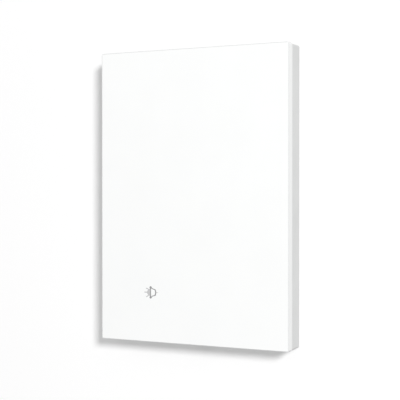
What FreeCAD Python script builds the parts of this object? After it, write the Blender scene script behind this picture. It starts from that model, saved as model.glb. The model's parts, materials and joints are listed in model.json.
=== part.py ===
import FreeCAD, Part
import os
import Sketcher

# A flush-fronted touch doorbell: a thin glass-like plate in front of a shallow
# case that hangs on a steel bracket on the wall.
#
# Frame: millimetres, +Z up, +X to the right as seen from the front. The wall is
# the plane y = 0 and the front face looks along -Y. Depths are given as the
# distance from the wall, so a depth of d lies at y = -d. The origin is the middle
# of the bracket's back face.

DRIVING = {
    # the front plate
    "width": 85.0,
    "height": 120.0,
    "depth": 12.0,
    "pane_thickness": 3.7,
    "pane_corner": 0.8,
    "arris": 0.35,
    # the printed bell sign, turned on its side, flush in the front face
    "sign_x": -18.8,
    "sign_z": -39.5,
    "sign_depth": 0.1,
    "sign_line": 0.5,
    "sign_rim": 5.1,
    "sign_clapper": 1.45,
    "sign_knob": 0.6,
    "sign_knob_reach": 3.25,
    "sign_ray": 1.35,
    "sign_ray_line": 0.3,
    "sign_ray_start": 1.85,
    "sign_ray_angle": 40.0,
    # layers behind the plate
    "tape_thickness": 0.3,
    "tape_inset": 2.2,
    "tape_width": 4.0,
    "foil_margin": 8.0,
    "board_thickness": 1.0,
    "board_margin": 7.3,
    "board_corner_cut": 7.0,
    # carrier frame glued to the plate
    "carrier_margin": 1.95,
    "carrier_width": 5.0,
    "carrier_depth": 1.6,
    "carrier_boss_side": 7.0,
    "carrier_boss_depth": 2.4,
    "carrier_pilot_skin": 0.4,
    "overlap": 0.5,
    "snap_width": 8.0,
    "snap_reach": 1.4,
    "snap_depth": 0.55,
    "snap_spacing": 50.0,
    # rear shell
    "shell_inset": 0.2,
    "shell_wall": 1.6,
    "shell_floor": 1.2,
    "shell_fillet": 0.5,
    "wall_gap": 0.2,
    "recess_depth": 1.3,
    "small_gap": 0.05,
    "gap": 0.4,
    # bracket and its hooks
    "bracket_width": 74.0,
    "bracket_height": 104.0,
    "bracket_thickness": 1.0,
    "bracket_corner": 4.0,
    "cable_width": 36.0,
    "cable_height": 34.0,
    "cable_corner": 3.0,
    "lift": 3.5,
    "hook_x": 24.0,
    "hook_upper_z": 34.0,
    "hook_lower_z": -30.0,
    "hook_width": 8.0,
    "hook_rise": 4.0,
    "hook_reach": 3.7,
    # screw slots to the wall box
    "box_tall_spacing": 83.5,
    "box_wide_spacing": 60.0,
    "slot_width": 4.2,
    "slot_length": 7.0,
    "head_room": 10.0,
    "head_room_depth": 3.6,
    "head_room_skin": 1.0,
    # lock screw at the bottom edge
    "lock_depth": 2.9,
    "lug_width": 9.0,
    "lug_reach": 4.6,
    "lug_collar": 3.6,
    "lug_collar_height": 0.8,
    "lock_hole": 2.5,
    "lock_shank": 2.4,
    "lock_shank_length": 7.8,
    "lock_head": 3.8,
    "lock_head_height": 1.5,
    "lock_socket": 1.5,
    "lock_socket_depth": 1.0,
    "lock_washer_thickness": 0.4,
    "lock_bore": 4.2,
    "lock_bore_depth": 2.2,
    "lock_web_hole": 2.8,
    "lock_block": 13.2,
    "lock_pocket": 11.0,
    "lock_pocket_depth": 5.9,
    "lock_pocket_top": 49.8,
    "lock_pocket_bottom": 56.3,
    "lock_block_top": 49.0,
    "lock_block_depth": 6.7,
    # case screws, from behind, under the bracket
    "case_screw_x": 32.6,
    "case_screw_z": 49.6,
    "case_head": 4.0,
    "case_head_height": 1.4,
    "case_bore": 4.4,
    "case_bore_depth": 2.9,
    "case_hole": 2.4,
    "case_shank": 1.9,
    "case_pilot": 2.0,
    "case_shank_length": 4.6,
    "case_boss": 6.8,
    "case_boss_depth": 5.5,
    "case_socket": 1.2,
    "case_socket_depth": 0.7,
    # bell-wire terminals
    "terminal_x": 7.5,
    "terminal_z": -10.0,
    "terminal_recess_width": 30.0,
    "terminal_recess_height": 15.0,
    "terminal_floor": 3.0,
    "terminal_wall": 1.2,
    "insert_outer": 4.6,
    "insert_bore": 3.0,
    "insert_depth": 6.4,
    "insert_boss": 7.0,
    "terminal_washer": 7.0,
    "terminal_washer_thickness": 0.6,
    "terminal_washer_hole": 3.3,
    "terminal_head": 5.4,
    "terminal_head_height": 1.6,
    "terminal_shank": 2.9,
    "terminal_shank_length": 3.8,
    "terminal_slot_width": 0.8,
    "terminal_slot_depth": 0.7,
    "contact_width": 3.0,
    "contact_height": 5.0,
    # tamper plunger, pressed in by the wall
    "tamper_x": 12.0,
    "tamper_z": 24.0,
    "tamper_pin": 3.0,
    "tamper_pin_length": 3.8,
    "tamper_flange": 4.4,
    "tamper_flange_thickness": 0.5,
    "tamper_window_width": 6.0,
    "tamper_window_height": 10.0,
    "spring_outer": 4.2,
    "spring_wire": 0.4,
    # pairing pin at the bottom edge
    "pairing_x": 24.0,
    "pairing_depth": 4.95,
    "pairing_pin": 2.2,
    "pairing_pin_length": 1.4,
    "pairing_recess": 0.3,
    "pairing_flange": 2.7,
    "pairing_flange_thickness": 0.5,
    "pairing_stem": 1.4,
    "pairing_stem_length": 3.65,
    "switch_knob": 0.84,
    # outlet slots under the sounder
    "sound_slot_width": 1.2,
    "sound_slot_height": 2.6,
    "sound_slot_pitch": 2.4,
    "sound_slot_depth": 5.4,
    # light behind the sign
    "light_window_width": 6.6,
    "light_window_height": 5.6,
    "diffuser_play": 0.1,
    "shroud_width": 10.6,
    "shroud_height": 8.4,
    "shroud_depth": 2.0,
    "shroud_wall": 0.5,
    "led_width": 0.9,
    "led_height": 1.6,
    "led_thickness": 0.7,
    "led_spacing": 7.8,
    # small parts
    "label_width": 24.0,
    "label_height": 11.0,
    "label_thickness": 0.1,
    "label_z": 8.0,
    "passive_length": 1.6,
    "passive_width": 0.8,
    "passive_thickness": 0.6,
    "shield_wall": 0.2,
    "shield_height": 12.2,
    "shield_margin": 0.6,
    "shield_depth": 1.6,
}

# Parts on the board's back: middle x and z, width, height, thickness off the board.
ON_BOARD = {
    "touch_controller": (14.0, 36.0, 5.0, 5.0, 0.9),
    "clock_crystal": (7.0, 36.0, 3.2, 2.5, 0.8),
    "radio_module": (-25.5, 18.0, 13.0, 18.0, 0.8),
    "bridge_rectifier": (-24.0, -17.0, 8.4, 6.4, 2.4),
    "power_inductor": (24.5, -17.0, 7.0, 7.0, 2.9),
    "voltage_regulator": (9.0, 5.0, 6.5, 3.5, 1.6),
    "chime_switch": (-8.0, 5.0, 6.6, 6.1, 2.3),
    "resettable_fuse": (24.0, -38.0, 4.6, 3.2, 1.0),
    "surge_absorber": (12.0, -38.0, 8.0, 5.6, 2.5),
    "sounder": (-22.0, -48.2, 8.5, 8.5, 2.5),
    "tamper_switch": (19.5, 24.0, 6.0, 3.5, 1.6),
}
CAPACITORS = {"left": (-9.0, -25.5), "middle": (0.0, -25.5), "right": (9.0, -25.5)}
CAPACITOR_SIZE = (7.3, 4.3, 2.8)
# The sign's bell, lying on its side: reach from the rim, and half its height there.
BELL_PROFILE = [(0.0, 2.45), (0.5, 1.9), (1.1, 1.5), (1.9, 1.25), (2.4, 0.85), (2.7, 0.3)]
BELL_HOLLOW_SHARE = 0.78
SWITCH_SIZE = {"switch_width": 6.0, "switch_height": 3.8, "switch_thickness": 3.1}
# Signs of x and z, and a name, for whatever sits at the four corners.
CORNERS = [(1, 1, "right_top"), (1, -1, "right_bottom"), (-1, 1, "left_top"), (-1, -1, "left_bottom")]
# Rows of small chip parts: name, first x, z, pitch along x, how many.
PASSIVE_ROWS = [
    ("controller_row", 10.0, 41.0, 2.5, 4),
    ("crystal_row", 3.5, 32.0, 2.5, 3),
    ("radio_row", -14.0, 22.0, 2.5, 3),
    ("regulator_row", 4.0, 10.5, 2.5, 4),
    ("rectifier_row", -30.0, -24.0, 2.5, 4),
    ("fuse_row", 20.0, -43.0, 2.5, 3),
]


class Size:
    """A number together with the expression that ties it to the sheet."""

    def __init__(self, value, text):
        self.value = value
        self.text = text

    def __add__(self, other):
        other = as_size(other)
        return Size(self.value + other.value, f"({self.text} + {other.text})")

    def __sub__(self, other):
        other = as_size(other)
        return Size(self.value - other.value, f"({self.text} - {other.text})")

    def __mul__(self, number):
        return Size(self.value * number, f"({self.text} * {number})")

    def __truediv__(self, number):
        return Size(self.value / number, f"({self.text} / {number})")

    def __neg__(self):
        return Size(-self.value, f"(0 - {self.text})")


def as_size(number):
    """A plain number as a Size, or the Size itself."""
    if isinstance(number, Size):
        return number
    return Size(float(number), f"({number})")


doc = FreeCAD.newDocument("touch_doorbell")
sheet = doc.addObject("Spreadsheet::Sheet", "Sizes")
size = {}


def add_cell(name, value):
    """Put one driving dimension in the sheet under its own name."""
    cell = f"A{len(size) + 1}"
    sheet.set(cell, str(value))
    sheet.setAlias(cell, name)
    size[name] = Size(value, f"Sizes.{name}")


for cell_name, cell_value in DRIVING.items():
    add_cell(cell_name, cell_value)
for part_name, values in ON_BOARD.items():
    for what, value in zip(("x", "z", "width", "height", "thickness"), values):
        add_cell(f"{part_name}_{what}", value)
for place_name, (place_x, place_z) in CAPACITORS.items():
    add_cell(f"capacitor_{place_name}_x", place_x)
    add_cell(f"capacitor_{place_name}_z", place_z)
for what, value in zip(("width", "height", "thickness"), CAPACITOR_SIZE):
    add_cell(f"capacitor_{what}", value)
for cell_name, cell_value in SWITCH_SIZE.items():
    add_cell(cell_name, cell_value)
for step, (reach, half_height) in enumerate(BELL_PROFILE):
    add_cell(f"bell_reach_{step}", reach)
    add_cell(f"bell_half_{step}", half_height)
for row_name, first_x, row_z, pitch, _ in PASSIVE_ROWS:
    add_cell(f"{row_name}_x", first_x)
    add_cell(f"{row_name}_z", row_z)
    add_cell(f"{row_name}_pitch", pitch)
doc.recompute()

# Depths worked out once, as distances from the wall.
ZERO = as_size(0)
PANE_BACK = size["depth"] - size["pane_thickness"]
TAPE_BACK = PANE_BACK - size["tape_thickness"]
BOARD_BACK = TAPE_BACK - size["board_thickness"]
CARRIER_BACK = TAPE_BACK - size["carrier_depth"]
FLOOR_OUTER = size["recess_depth"]
FLOOR_INNER = FLOOR_OUTER + size["shell_floor"]
SHELL_WIDTH = size["width"] - size["shell_inset"] * 2
SHELL_HEIGHT = size["height"] - size["shell_inset"] * 2
SHELL_BOTTOM = -(SHELL_HEIGHT / 2)
HOOK_Z = {1: size["hook_upper_z"], -1: size["hook_lower_z"]}


# ---------------------------------------------------------------- sketches


def new_body(label):
    """An empty body whose label names its file."""
    body = doc.addObject("PartDesign::Body", label)
    body.Label = label
    return body


def new_sketch(body, name, role, offset):
    """A sketch on one of the body's own origin planes, moved along its normal."""
    sketch = body.newObject("Sketcher::SketchObject", f"{body.Label}_{name}")
    planes = [p for p in body.Origin.OriginFeatures if p.Role == role]
    sketch.AttachmentSupport = [(planes[0], "")]
    sketch.MapMode = "FlatFace"
    sketch.setExpression("AttachmentOffset.Base.z", offset.text)
    return sketch


def facing(body, name, depth):
    """A sketch parallel to the wall: local x is X, local y is Z, normal is -Y."""
    return new_sketch(body, name, "XZ_Plane", depth)


def level(body, name, height):
    """A level sketch: local x is X, local y is Y, normal is +Z."""
    return new_sketch(body, name, "XY_Plane", height)


def tie(sketch, kind, where, value):
    """Add one dimension to a sketch and bind it to the sheet."""
    index = sketch.addConstraint(Sketcher.Constraint(kind, *where, value.value))
    sketch.setExpression(f"Constraints[{index}]", value.text)


def point(x, y):
    return FreeCAD.Vector(x, y, 0)


def rectangle(sketch, left, right, low, high):
    """A rectangle with its four sides tied to the sheet."""
    left, right, low, high = (as_size(v) for v in (left, right, low, high))
    corners = [
        point(left.value, low.value),
        point(right.value, low.value),
        point(right.value, high.value),
        point(left.value, high.value),
    ]
    sides = []
    for k in range(4):
        line = Part.LineSegment(corners[k], corners[(k + 1) % 4])
        sides.append(sketch.addGeometry(line, False))
    for k in range(4):
        pair = (sides[k], 2, sides[(k + 1) % 4], 1)
        sketch.addConstraint(Sketcher.Constraint("Coincident", *pair))
    for k, kind in enumerate(("Horizontal", "Vertical", "Horizontal", "Vertical")):
        sketch.addConstraint(Sketcher.Constraint(kind, sides[k]))
    tie(sketch, "DistanceX", (-1, 1, sides[3], 1), left)
    tie(sketch, "DistanceX", (-1, 1, sides[1], 1), right)
    tie(sketch, "DistanceY", (-1, 1, sides[0], 1), low)
    tie(sketch, "DistanceY", (-1, 1, sides[2], 1), high)


def centred(sketch, x, y, width, height):
    """A rectangle given by its middle and its two sizes."""
    x, y = as_size(x), as_size(y)
    rectangle(sketch, x - width / 2, x + width / 2, y - height / 2, y + height / 2)


def polygon(sketch, corners):
    """A closed outline whose corners are tied to the sheet one by one."""
    sides = []
    for k, (x, y) in enumerate(corners):
        end_x, end_y = corners[(k + 1) % len(corners)]
        line = Part.LineSegment(point(x.value, y.value), point(end_x.value, end_y.value))
        sides.append(sketch.addGeometry(line, False))
    for k, (x, y) in enumerate(corners):
        pair = (sides[k - 1], 2, sides[k], 1)
        sketch.addConstraint(Sketcher.Constraint("Coincident", *pair))
        tie(sketch, "DistanceX", (-1, 1, sides[k], 1), x)
        tie(sketch, "DistanceY", (-1, 1, sides[k], 1), y)


def circle(sketch, x, y, diameter):
    """A circle with its middle and diameter tied to the sheet."""
    x, y = as_size(x), as_size(y)
    shape = Part.Circle(point(x.value, y.value), FreeCAD.Vector(0, 0, 1), diameter.value / 2)
    index = sketch.addGeometry(shape, False)
    tie(sketch, "DistanceX", (-1, 1, index, 3), x)
    tie(sketch, "DistanceY", (-1, 1, index, 3), y)
    tie(sketch, "Diameter", (index,), diameter)


# ---------------------------------------------------------------- features


def grow(body, sketch, length):
    """Pad along the sketch's normal."""
    pad = body.newObject("PartDesign::Pad", f"{sketch.Name}_pad")
    pad.Profile = sketch
    pad.setExpression("Length", as_size(length).text)
    doc.recompute()
    return pad


def cut(body, sketch, length):
    """Pocket against the sketch's normal; it must take material away."""
    before = body.Shape.Volume
    pocket = body.newObject("PartDesign::Pocket", f"{sketch.Name}_pocket")
    pocket.Profile = sketch
    pocket.setExpression("Length", as_size(length).text)
    doc.recompute()
    if not body.Shape.Volume < before:
        raise RuntimeError(f"{sketch.Name} cuts nothing")
    return pocket


def slab(body, name, low, high, shape, *where):
    """Add material between two depths inside one outline."""
    sketch = facing(body, name, as_size(low))
    shape(sketch, *where)
    return grow(body, sketch, as_size(high) - low)


def hollow(body, name, low, high, shape, *where):
    """Take material away between two depths inside one outline."""
    sketch = facing(body, name, as_size(high))
    shape(sketch, *where)
    return cut(body, sketch, as_size(high) - low)


def round_edges(body, name, kind, value, wanted):
    """Fillet or chamfer the edges of the body's tip whose middle passes a test."""
    tip = body.Tip
    names = []
    for k, edge in enumerate(tip.Shape.Edges):
        middle = edge.valueAt((edge.FirstParameter + edge.LastParameter) / 2)
        if wanted(edge, middle):
            names.append(f"Edge{k + 1}")
    if not names:
        raise RuntimeError(f"{name} finds no edge")
    feature = body.newObject(f"PartDesign::{kind}", f"{body.Label}_{name}")
    feature.Base = (tip, names)
    feature.setExpression("Radius" if kind == "Fillet" else "Size", value.text)
    doc.recompute()


def upright(edge):
    """True for a straight edge that runs along Y."""
    direction = edge.tangentAt(edge.FirstParameter)
    return abs(direction.y) > 0.999


def near(value, wanted):
    return abs(value - wanted) < 0.001


# -------------------------------------------------------------- primitives


def put(thing, x, depth, z):
    """Tie a primitive's corner or axis point to the sheet."""
    thing.setExpression("Placement.Base.x", as_size(x).text)
    thing.setExpression("Placement.Base.y", (-as_size(depth)).text)
    thing.setExpression("Placement.Base.z", as_size(z).text)


def block(name, x, z, width, height, low, high):
    """A block given by its middle, and by the depths of its back and front."""
    box = doc.addObject("Part::Box", name)
    box.setExpression("Length", as_size(width).text)
    box.setExpression("Width", (as_size(high) - low).text)
    box.setExpression("Height", as_size(height).text)
    put(box, as_size(x) - width / 2, high, as_size(z) - height / 2)
    return box


def rod(name, x, depth, z, diameter, length, along="front"):
    """A cylinder from one point, towards the front or upwards."""
    shape = doc.addObject("Part::Cylinder", name)
    if along == "front":
        turn = FreeCAD.Rotation(FreeCAD.Vector(1, 0, 0), 90)
        shape.Placement = FreeCAD.Placement(FreeCAD.Vector(), turn)
    shape.setExpression("Radius", (as_size(diameter) / 2).text)
    shape.setExpression("Height", as_size(length).text)
    put(shape, x, depth, z)
    return shape


def hexagon(name, x, depth, z, radius, length, along="front"):
    """A six-sided prism, such as a hexagon socket's hollow."""
    shape = doc.addObject("Part::Prism", name)
    shape.Polygon = 6
    if along == "front":
        turn = FreeCAD.Rotation(FreeCAD.Vector(1, 0, 0), 90)
        shape.Placement = FreeCAD.Placement(FreeCAD.Vector(), turn)
    shape.setExpression("Circumradius", as_size(radius).text)
    shape.setExpression("Height", as_size(length).text)
    put(shape, x, depth, z)
    return shape


def fused(name, *pieces):
    joined = doc.addObject("Part::MultiFuse", name)
    joined.Shapes = list(pieces)
    joined.Label = name
    return joined


def grouped(name, *pieces):
    group = doc.addObject("Part::Compound", name)
    group.Links = list(pieces)
    group.Label = name
    return group


def carved(name, base, tool):
    result = doc.addObject("Part::Cut", name)
    result.Base = base
    result.Tool = tool
    result.Label = name
    return result


# -------------------------------------------------- plate, sign and layers


def bell_corners(x, z, share):
    """The corners of the sign's bell, shrunk towards the middle of its rim."""
    upper, lower = [], []
    for k in range(len(BELL_PROFILE)):
        out_x = x + size[f"bell_reach_{k}"] * share
        half = size[f"bell_half_{k}"] * share
        upper.append((out_x, z + half))
        lower.append((out_x, z - half))
    return upper + lower[::-1]


def build_sign_bell(x, z, back, front):
    """The bell's outline as a band that is open towards its rim."""
    body = new_body("sign_bell_band")
    slab(body, "outline", back, front, polygon, bell_corners(x, z, 1.0))
    hollow(body, "inside", back, front, polygon, bell_corners(x, z, BELL_HOLLOW_SHARE))
    return body


def build_sign_rays(x, z, front):
    """Three short rays that fan out from the clapper."""
    rays = []
    start, half_line = size["sign_ray_start"], size["sign_ray_line"] / 2
    for k in (-1, 0, 1):
        ray = doc.addObject("Part::Box", f"sign_ray_{k + 2}")
        ray.setExpression("Length", size["sign_ray"].text)
        ray.setExpression("Width", size["sign_depth"].text)
        ray.setExpression("Height", size["sign_ray_line"].text)
        turn = FreeCAD.Rotation(FreeCAD.Vector(0, 1, 0), 180 + size["sign_ray_angle"].value * k)
        ray.Placement = FreeCAD.Placement(FreeCAD.Vector(), turn)
        out = turn.multVec(FreeCAD.Vector(1, 0, 0))
        side = turn.multVec(FreeCAD.Vector(0, 0, 1))
        ray_x = x + start * out.x - half_line * side.x
        ray_z = z + start * out.z - half_line * side.z
        put(ray, ray_x, front, ray_z)
        rays.append(ray)
    return rays


def build_sign():
    """The bell sign: rim, bell, knob, half-round clapper and three rays."""
    x, z = size["sign_x"], size["sign_z"]
    line = size["sign_line"]
    back, front = size["depth"] - size["sign_depth"], size["depth"]
    rim = block("sign_rim_bar", x, z, line, size["sign_rim"], back, front)
    bell_x = x + line / 2
    bell = build_sign_bell(bell_x, z, back, front)
    knob_from = size[f"bell_reach_{len(BELL_PROFILE) - 1}"] - line / 2
    knob_wide = size["sign_knob_reach"] - knob_from
    knob_x = bell_x + knob_from + knob_wide / 2
    knob = block("sign_knob", knob_x, z, knob_wide, size["sign_knob"], back, front)

    clapper_x = x - line / 2
    clapper = rod("sign_clapper_disc", clapper_x, back, z, size["sign_clapper"] * 2, size["sign_depth"])
    lying = FreeCAD.Rotation(FreeCAD.Vector(1, 0, 0), 90)
    spin = FreeCAD.Rotation(FreeCAD.Vector(0, 0, 1), 90)
    clapper.Placement = FreeCAD.Placement(clapper.Placement.Base, lying.multiply(spin))
    clapper.Angle = 180
    return fused("sign_inlay", rim, bell, knob, clapper, *build_sign_rays(x, z, front))


def build_front_pane(sign):
    """The plate: a slab with barely rounded corners and a fine arris."""
    body = new_body("pane_blank")
    slab(body, "outline", PANE_BACK, size["depth"], centred, 0, 0, size["width"], size["height"])
    round_edges(body, "corners", "Fillet", size["pane_corner"], lambda e, m: upright(e))
    front = -size["depth"].value
    round_edges(body, "arris", "Chamfer", size["arris"], lambda e, m: near(m.y, front))
    return carved("front_pane", body, sign)


def build_bond_tape():
    """The foam tape that holds the plate on the carrier frame."""
    body = new_body("bond_tape")
    inset = size["tape_inset"] * 2
    wide, tall = size["width"] - inset, size["height"] - inset
    band = size["tape_width"] * 2
    slab(body, "outline", TAPE_BACK, PANE_BACK, centred, 0, 0, wide, tall)
    hollow(body, "window", TAPE_BACK, PANE_BACK, centred, 0, 0, wide - band, tall - band)
    return body


def build_touch_foil():
    """The sensing foil between the plate and the board."""
    margin = size["foil_margin"] * 2
    wide, tall = size["width"] - margin, size["height"] - margin
    return block("touch_foil", 0, 0, wide, tall, TAPE_BACK, PANE_BACK)


def build_front_carrier():
    """The frame behind the plate, with four screw bosses and four snap lugs."""
    body = new_body("front_carrier")
    margin = size["carrier_margin"] * 2
    wide, tall = size["width"] - margin, size["height"] - margin
    band = size["carrier_width"] * 2
    inner_x, inner_z = (wide - band) / 2, (tall - band) / 2
    overlap = size["overlap"]
    slab(body, "outline", CARRIER_BACK, TAPE_BACK, centred, 0, 0, wide, tall)
    hollow(body, "window", CARRIER_BACK, TAPE_BACK, centred, 0, 0, wide - band, tall - band)
    boss_left = size["case_screw_x"] - size["carrier_boss_side"] / 2
    boss_low = size["case_screw_z"] - size["carrier_boss_side"] / 2
    boss_x, boss_wide = (boss_left + inner_x + overlap) / 2, inner_x + overlap - boss_left
    boss_z, boss_tall = (boss_low + inner_z + overlap) / 2, inner_z + overlap - boss_low
    back = TAPE_BACK - size["carrier_boss_depth"]
    pilot_end = TAPE_BACK - size["carrier_pilot_skin"]
    snap_x = inner_x + (overlap - size["snap_reach"]) / 2
    snap_front = CARRIER_BACK + size["snap_depth"]
    for sx, sz, name in CORNERS:
        x, z = size["case_screw_x"] * sx, size["case_screw_z"] * sz
        boss = (boss_x * sx, boss_z * sz, boss_wide, boss_tall)
        slab(body, f"boss_{name}", back, TAPE_BACK, centred, *boss)
        hollow(body, f"pilot_{name}", back, pilot_end, circle, x, z, size["case_pilot"])
        snap = (snap_x * sx, size["snap_spacing"] / 2 * sz, size["snap_reach"] + overlap, size["snap_width"])
        slab(body, f"snap_{name}", CARRIER_BACK, snap_front, centred, *snap)
    half = size["lock_block"] / 2 + size["gap"]
    relief = (-half, half, -(tall / 2), -inner_z)
    relief_front = size["lock_block_depth"] + size["small_gap"]
    hollow(body, "lock_relief", CARRIER_BACK, relief_front, rectangle, *relief)
    return body


def build_main_board():
    """The circuit board, with its corners cut and a window behind the sign."""
    body = new_body("main_board")
    margin = size["board_margin"] * 2
    wide, tall = size["width"] - margin, size["height"] - margin
    slab(body, "outline", BOARD_BACK, TAPE_BACK, centred, 0, 0, wide, tall)
    notch = size["board_corner_cut"] * 2
    for sx, sz, name in CORNERS:
        corner = (wide / 2 * sx, tall / 2 * sz, notch, notch)
        hollow(body, f"notch_{name}", BOARD_BACK, TAPE_BACK, centred, *corner)
    window = (size["sign_x"], size["sign_z"], size["light_window_width"], size["light_window_height"])
    hollow(body, "window", BOARD_BACK, TAPE_BACK, centred, *window)
    return body


# --------------------------------------------------------- board's parts


def on_board(name):
    """A block standing on the board's back face."""
    x, z, wide, tall, thick = (size[f"{name}_{w}"] for w in ("x", "z", "width", "height", "thickness"))
    return block(name, x, z, wide, tall, BOARD_BACK - thick, BOARD_BACK)


def build_radio_shield():
    """The can over the radio's chips."""
    x, tall = size["radio_module_x"], size["shield_height"]
    margin, skin = size["shield_margin"], size["shield_wall"]
    wide = size["radio_module_width"] - margin * 2
    z = size["radio_module_z"] - size["radio_module_height"] / 2 + margin + tall / 2
    front = BOARD_BACK - size["radio_module_thickness"]
    back = front - size["shield_depth"]
    outer = block("radio_can_outer", x, z, wide, tall, back, front)
    inner = block("radio_can_inner", x, z, wide - skin * 2, tall - skin * 2, back + skin, front)
    return carved("radio_shield", outer, inner)


def build_capacitors():
    pieces = []
    wide, tall, thick = (size[f"capacitor_{w}"] for w in ("width", "height", "thickness"))
    for name in CAPACITORS:
        x, z = size[f"capacitor_{name}_x"], size[f"capacitor_{name}_z"]
        pieces.append(block(f"capacitor_{name}", x, z, wide, tall, BOARD_BACK - thick, BOARD_BACK))
    return grouped("power_capacitors", *pieces)


def build_small_passives():
    """Rows of chip resistors and capacitors."""
    pieces = []
    wide, tall = size["passive_width"], size["passive_length"]
    back = BOARD_BACK - size["passive_thickness"]
    for name, _, _, _, count in PASSIVE_ROWS:
        for k in range(count):
            x = size[f"{name}_x"] + size[f"{name}_pitch"] * k
            pieces.append(block(f"{name}_{k + 1}", x, size[f"{name}_z"], wide, tall, back, BOARD_BACK))
    return grouped("small_passives", *pieces)


def build_sign_light():
    """Two small lights in a shroud, shining through a plug in the board."""
    x, z = size["sign_x"], size["sign_z"]
    play = size["diffuser_play"] * 2
    plug_width = size["light_window_width"] - play
    plug_height = size["light_window_height"] - play
    block("light_diffuser", x, z, plug_width, plug_height, BOARD_BACK, TAPE_BACK)
    leds = []
    for side, name in ((-1, "left"), (1, "right")):
        led_x = x + size["led_spacing"] / 2 * side
        led = (size["led_width"], size["led_height"], BOARD_BACK - size["led_thickness"], BOARD_BACK)
        leds.append(block(f"sign_led_{name}", led_x, z, *led))
    grouped("sign_leds", *leds)
    wide, tall, wall = size["shroud_width"], size["shroud_height"], size["shroud_wall"]
    back = BOARD_BACK - size["shroud_depth"]
    outer = block("shroud_outer", x, z, wide, tall, back, BOARD_BACK)
    inner = block("shroud_inner", x, z, wide - wall * 2, tall - wall * 2, back + wall, BOARD_BACK)
    carved("light_shroud", outer, inner)


def build_pairing_switch():
    """The side-pushed switch at the board's lower edge."""
    x = size["pairing_x"]
    edge = -(size["height"] / 2 - size["board_margin"])
    tall = size["switch_height"]
    back = BOARD_BACK - size["switch_thickness"]
    case = block("pairing_switch_case", x, edge + tall / 2, size["switch_width"], tall, back, BOARD_BACK)
    knob_length = size["switch_knob"]
    knob_at = (x, size["pairing_depth"], edge - knob_length)
    knob = rod("pairing_switch_knob", *knob_at, size["pairing_stem"], knob_length, "up")
    return fused("pairing_switch", case, knob)


def build_pairing_button():
    """The pin pushed with a pen tip, with the flange that keeps it in."""
    x, depth = size["pairing_x"], size["pairing_depth"]
    low = SHELL_BOTTOM + size["pairing_recess"]
    pin = rod("pairing_pin", x, depth, low, size["pairing_pin"], size["pairing_pin_length"], "up")
    flange_low = low + size["pairing_pin_length"]
    thick = size["pairing_flange_thickness"]
    flange = rod("pairing_flange", x, depth, flange_low, size["pairing_flange"], thick, "up")
    stem_low = flange_low + thick
    stem = rod("pairing_stem", x, depth, stem_low, size["pairing_stem"], size["pairing_stem_length"], "up")
    return fused("pairing_button", pin, flange, stem)


def build_tamper():
    """The plunger whose tip stands on the wall, and its return spring."""
    x, z = size["tamper_x"], size["tamper_z"]
    pin_length = size["tamper_pin_length"]
    thick = size["tamper_flange_thickness"]
    pin = rod("tamper_pin", x, ZERO, z, size["tamper_pin"], pin_length)
    flange = rod("tamper_flange", x, pin_length, z, size["tamper_flange"], thick)
    fused("tamper_plunger", pin, flange)
    start = pin_length + thick
    outer = rod("spring_outer_round", x, start, z, size["spring_outer"], BOARD_BACK - start)
    bore = size["spring_outer"] - size["spring_wire"] * 2
    inner = rod("spring_inner_round", x, start, z, bore, BOARD_BACK - start)
    carved("tamper_spring", outer, inner)


# ------------------------------------------------------------- terminals


def build_terminals():
    """Two brass inserts with captive-washer screws, and their board contacts."""
    z = size["terminal_z"]
    floor = size["terminal_floor"]
    inserts = []
    contacts = []
    for side, name in ((-1, "left"), (1, "right")):
        x = size["terminal_x"] * side
        length = size["insert_depth"] - floor
        sleeve = rod(f"insert_{name}_outer", x, floor, z, size["insert_outer"], length)
        bore = rod(f"insert_{name}_bore", x, floor, z, size["insert_bore"], length)
        inserts.append(carved(f"insert_{name}", sleeve, bore))
        leaf = (size["contact_width"], size["contact_height"], size["insert_depth"], BOARD_BACK)
        contacts.append(block(f"contact_{name}", x, z, *leaf))

        thick = size["terminal_washer_thickness"]
        washer_side = size["terminal_washer"]
        plate = block(f"washer_{name}_plate", x, z, washer_side, washer_side, floor - thick, floor)
        hole = rod(f"washer_{name}_hole", x, floor - thick, z, size["terminal_washer_hole"], thick)
        carved(f"terminal_washer_{name}", plate, hole)

        head_back = floor - thick - size["terminal_head_height"]
        head_size = (size["terminal_head"], size["terminal_head_height"])
        head = rod(f"terminal_{name}_head", x, head_back, z, *head_size)
        shank_size = (size["terminal_shank"], size["terminal_shank_length"])
        shank = rod(f"terminal_{name}_shank", x, floor - thick, z, *shank_size)
        solid = fused(f"terminal_{name}_solid", head, shank)
        slot_end = head_back + size["terminal_slot_depth"]
        slot_size = (washer_side, size["terminal_slot_width"], head_back, slot_end)
        carved(f"terminal_screw_{name}", solid, block(f"terminal_{name}_slot", x, z, *slot_size))
    grouped("terminal_inserts", *inserts)
    grouped("terminal_contacts", *contacts)


# ------------------------------------------------------------ rear shell


def cut_wall_screw_room(body):
    """Pockets over the bracket's screw slots, for the heads of the wall screws."""
    room = size["head_room"]
    travel = size["slot_length"] - size["slot_width"]
    skin = size["head_room_skin"]
    inner = size["head_room_depth"] + skin
    drop = size["lift"]
    tall, wide = size["box_tall_spacing"] / 2, size["box_wide_spacing"] / 2
    places = {
        "top": (ZERO, tall, room, room + travel),
        "bottom": (ZERO, -tall, room, room + travel),
        "left": (-wide, ZERO, room + travel, room),
        "right": (wide, ZERO, room + travel, room),
    }
    for name, (x, z, across, high) in places.items():
        middle = z - drop / 2
        outside = (x, middle, across + skin * 2, high + drop + skin * 2)
        slab(body, f"screw_room_{name}", FLOOR_INNER, inner, centred, *outside)
    for name, (x, z, across, high) in places.items():
        inside = (x, z - drop / 2, across, high + drop)
        depth = size["head_room_depth"]
        hollow(body, f"screw_pocket_{name}", FLOOR_OUTER, depth, centred, *inside)


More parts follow.
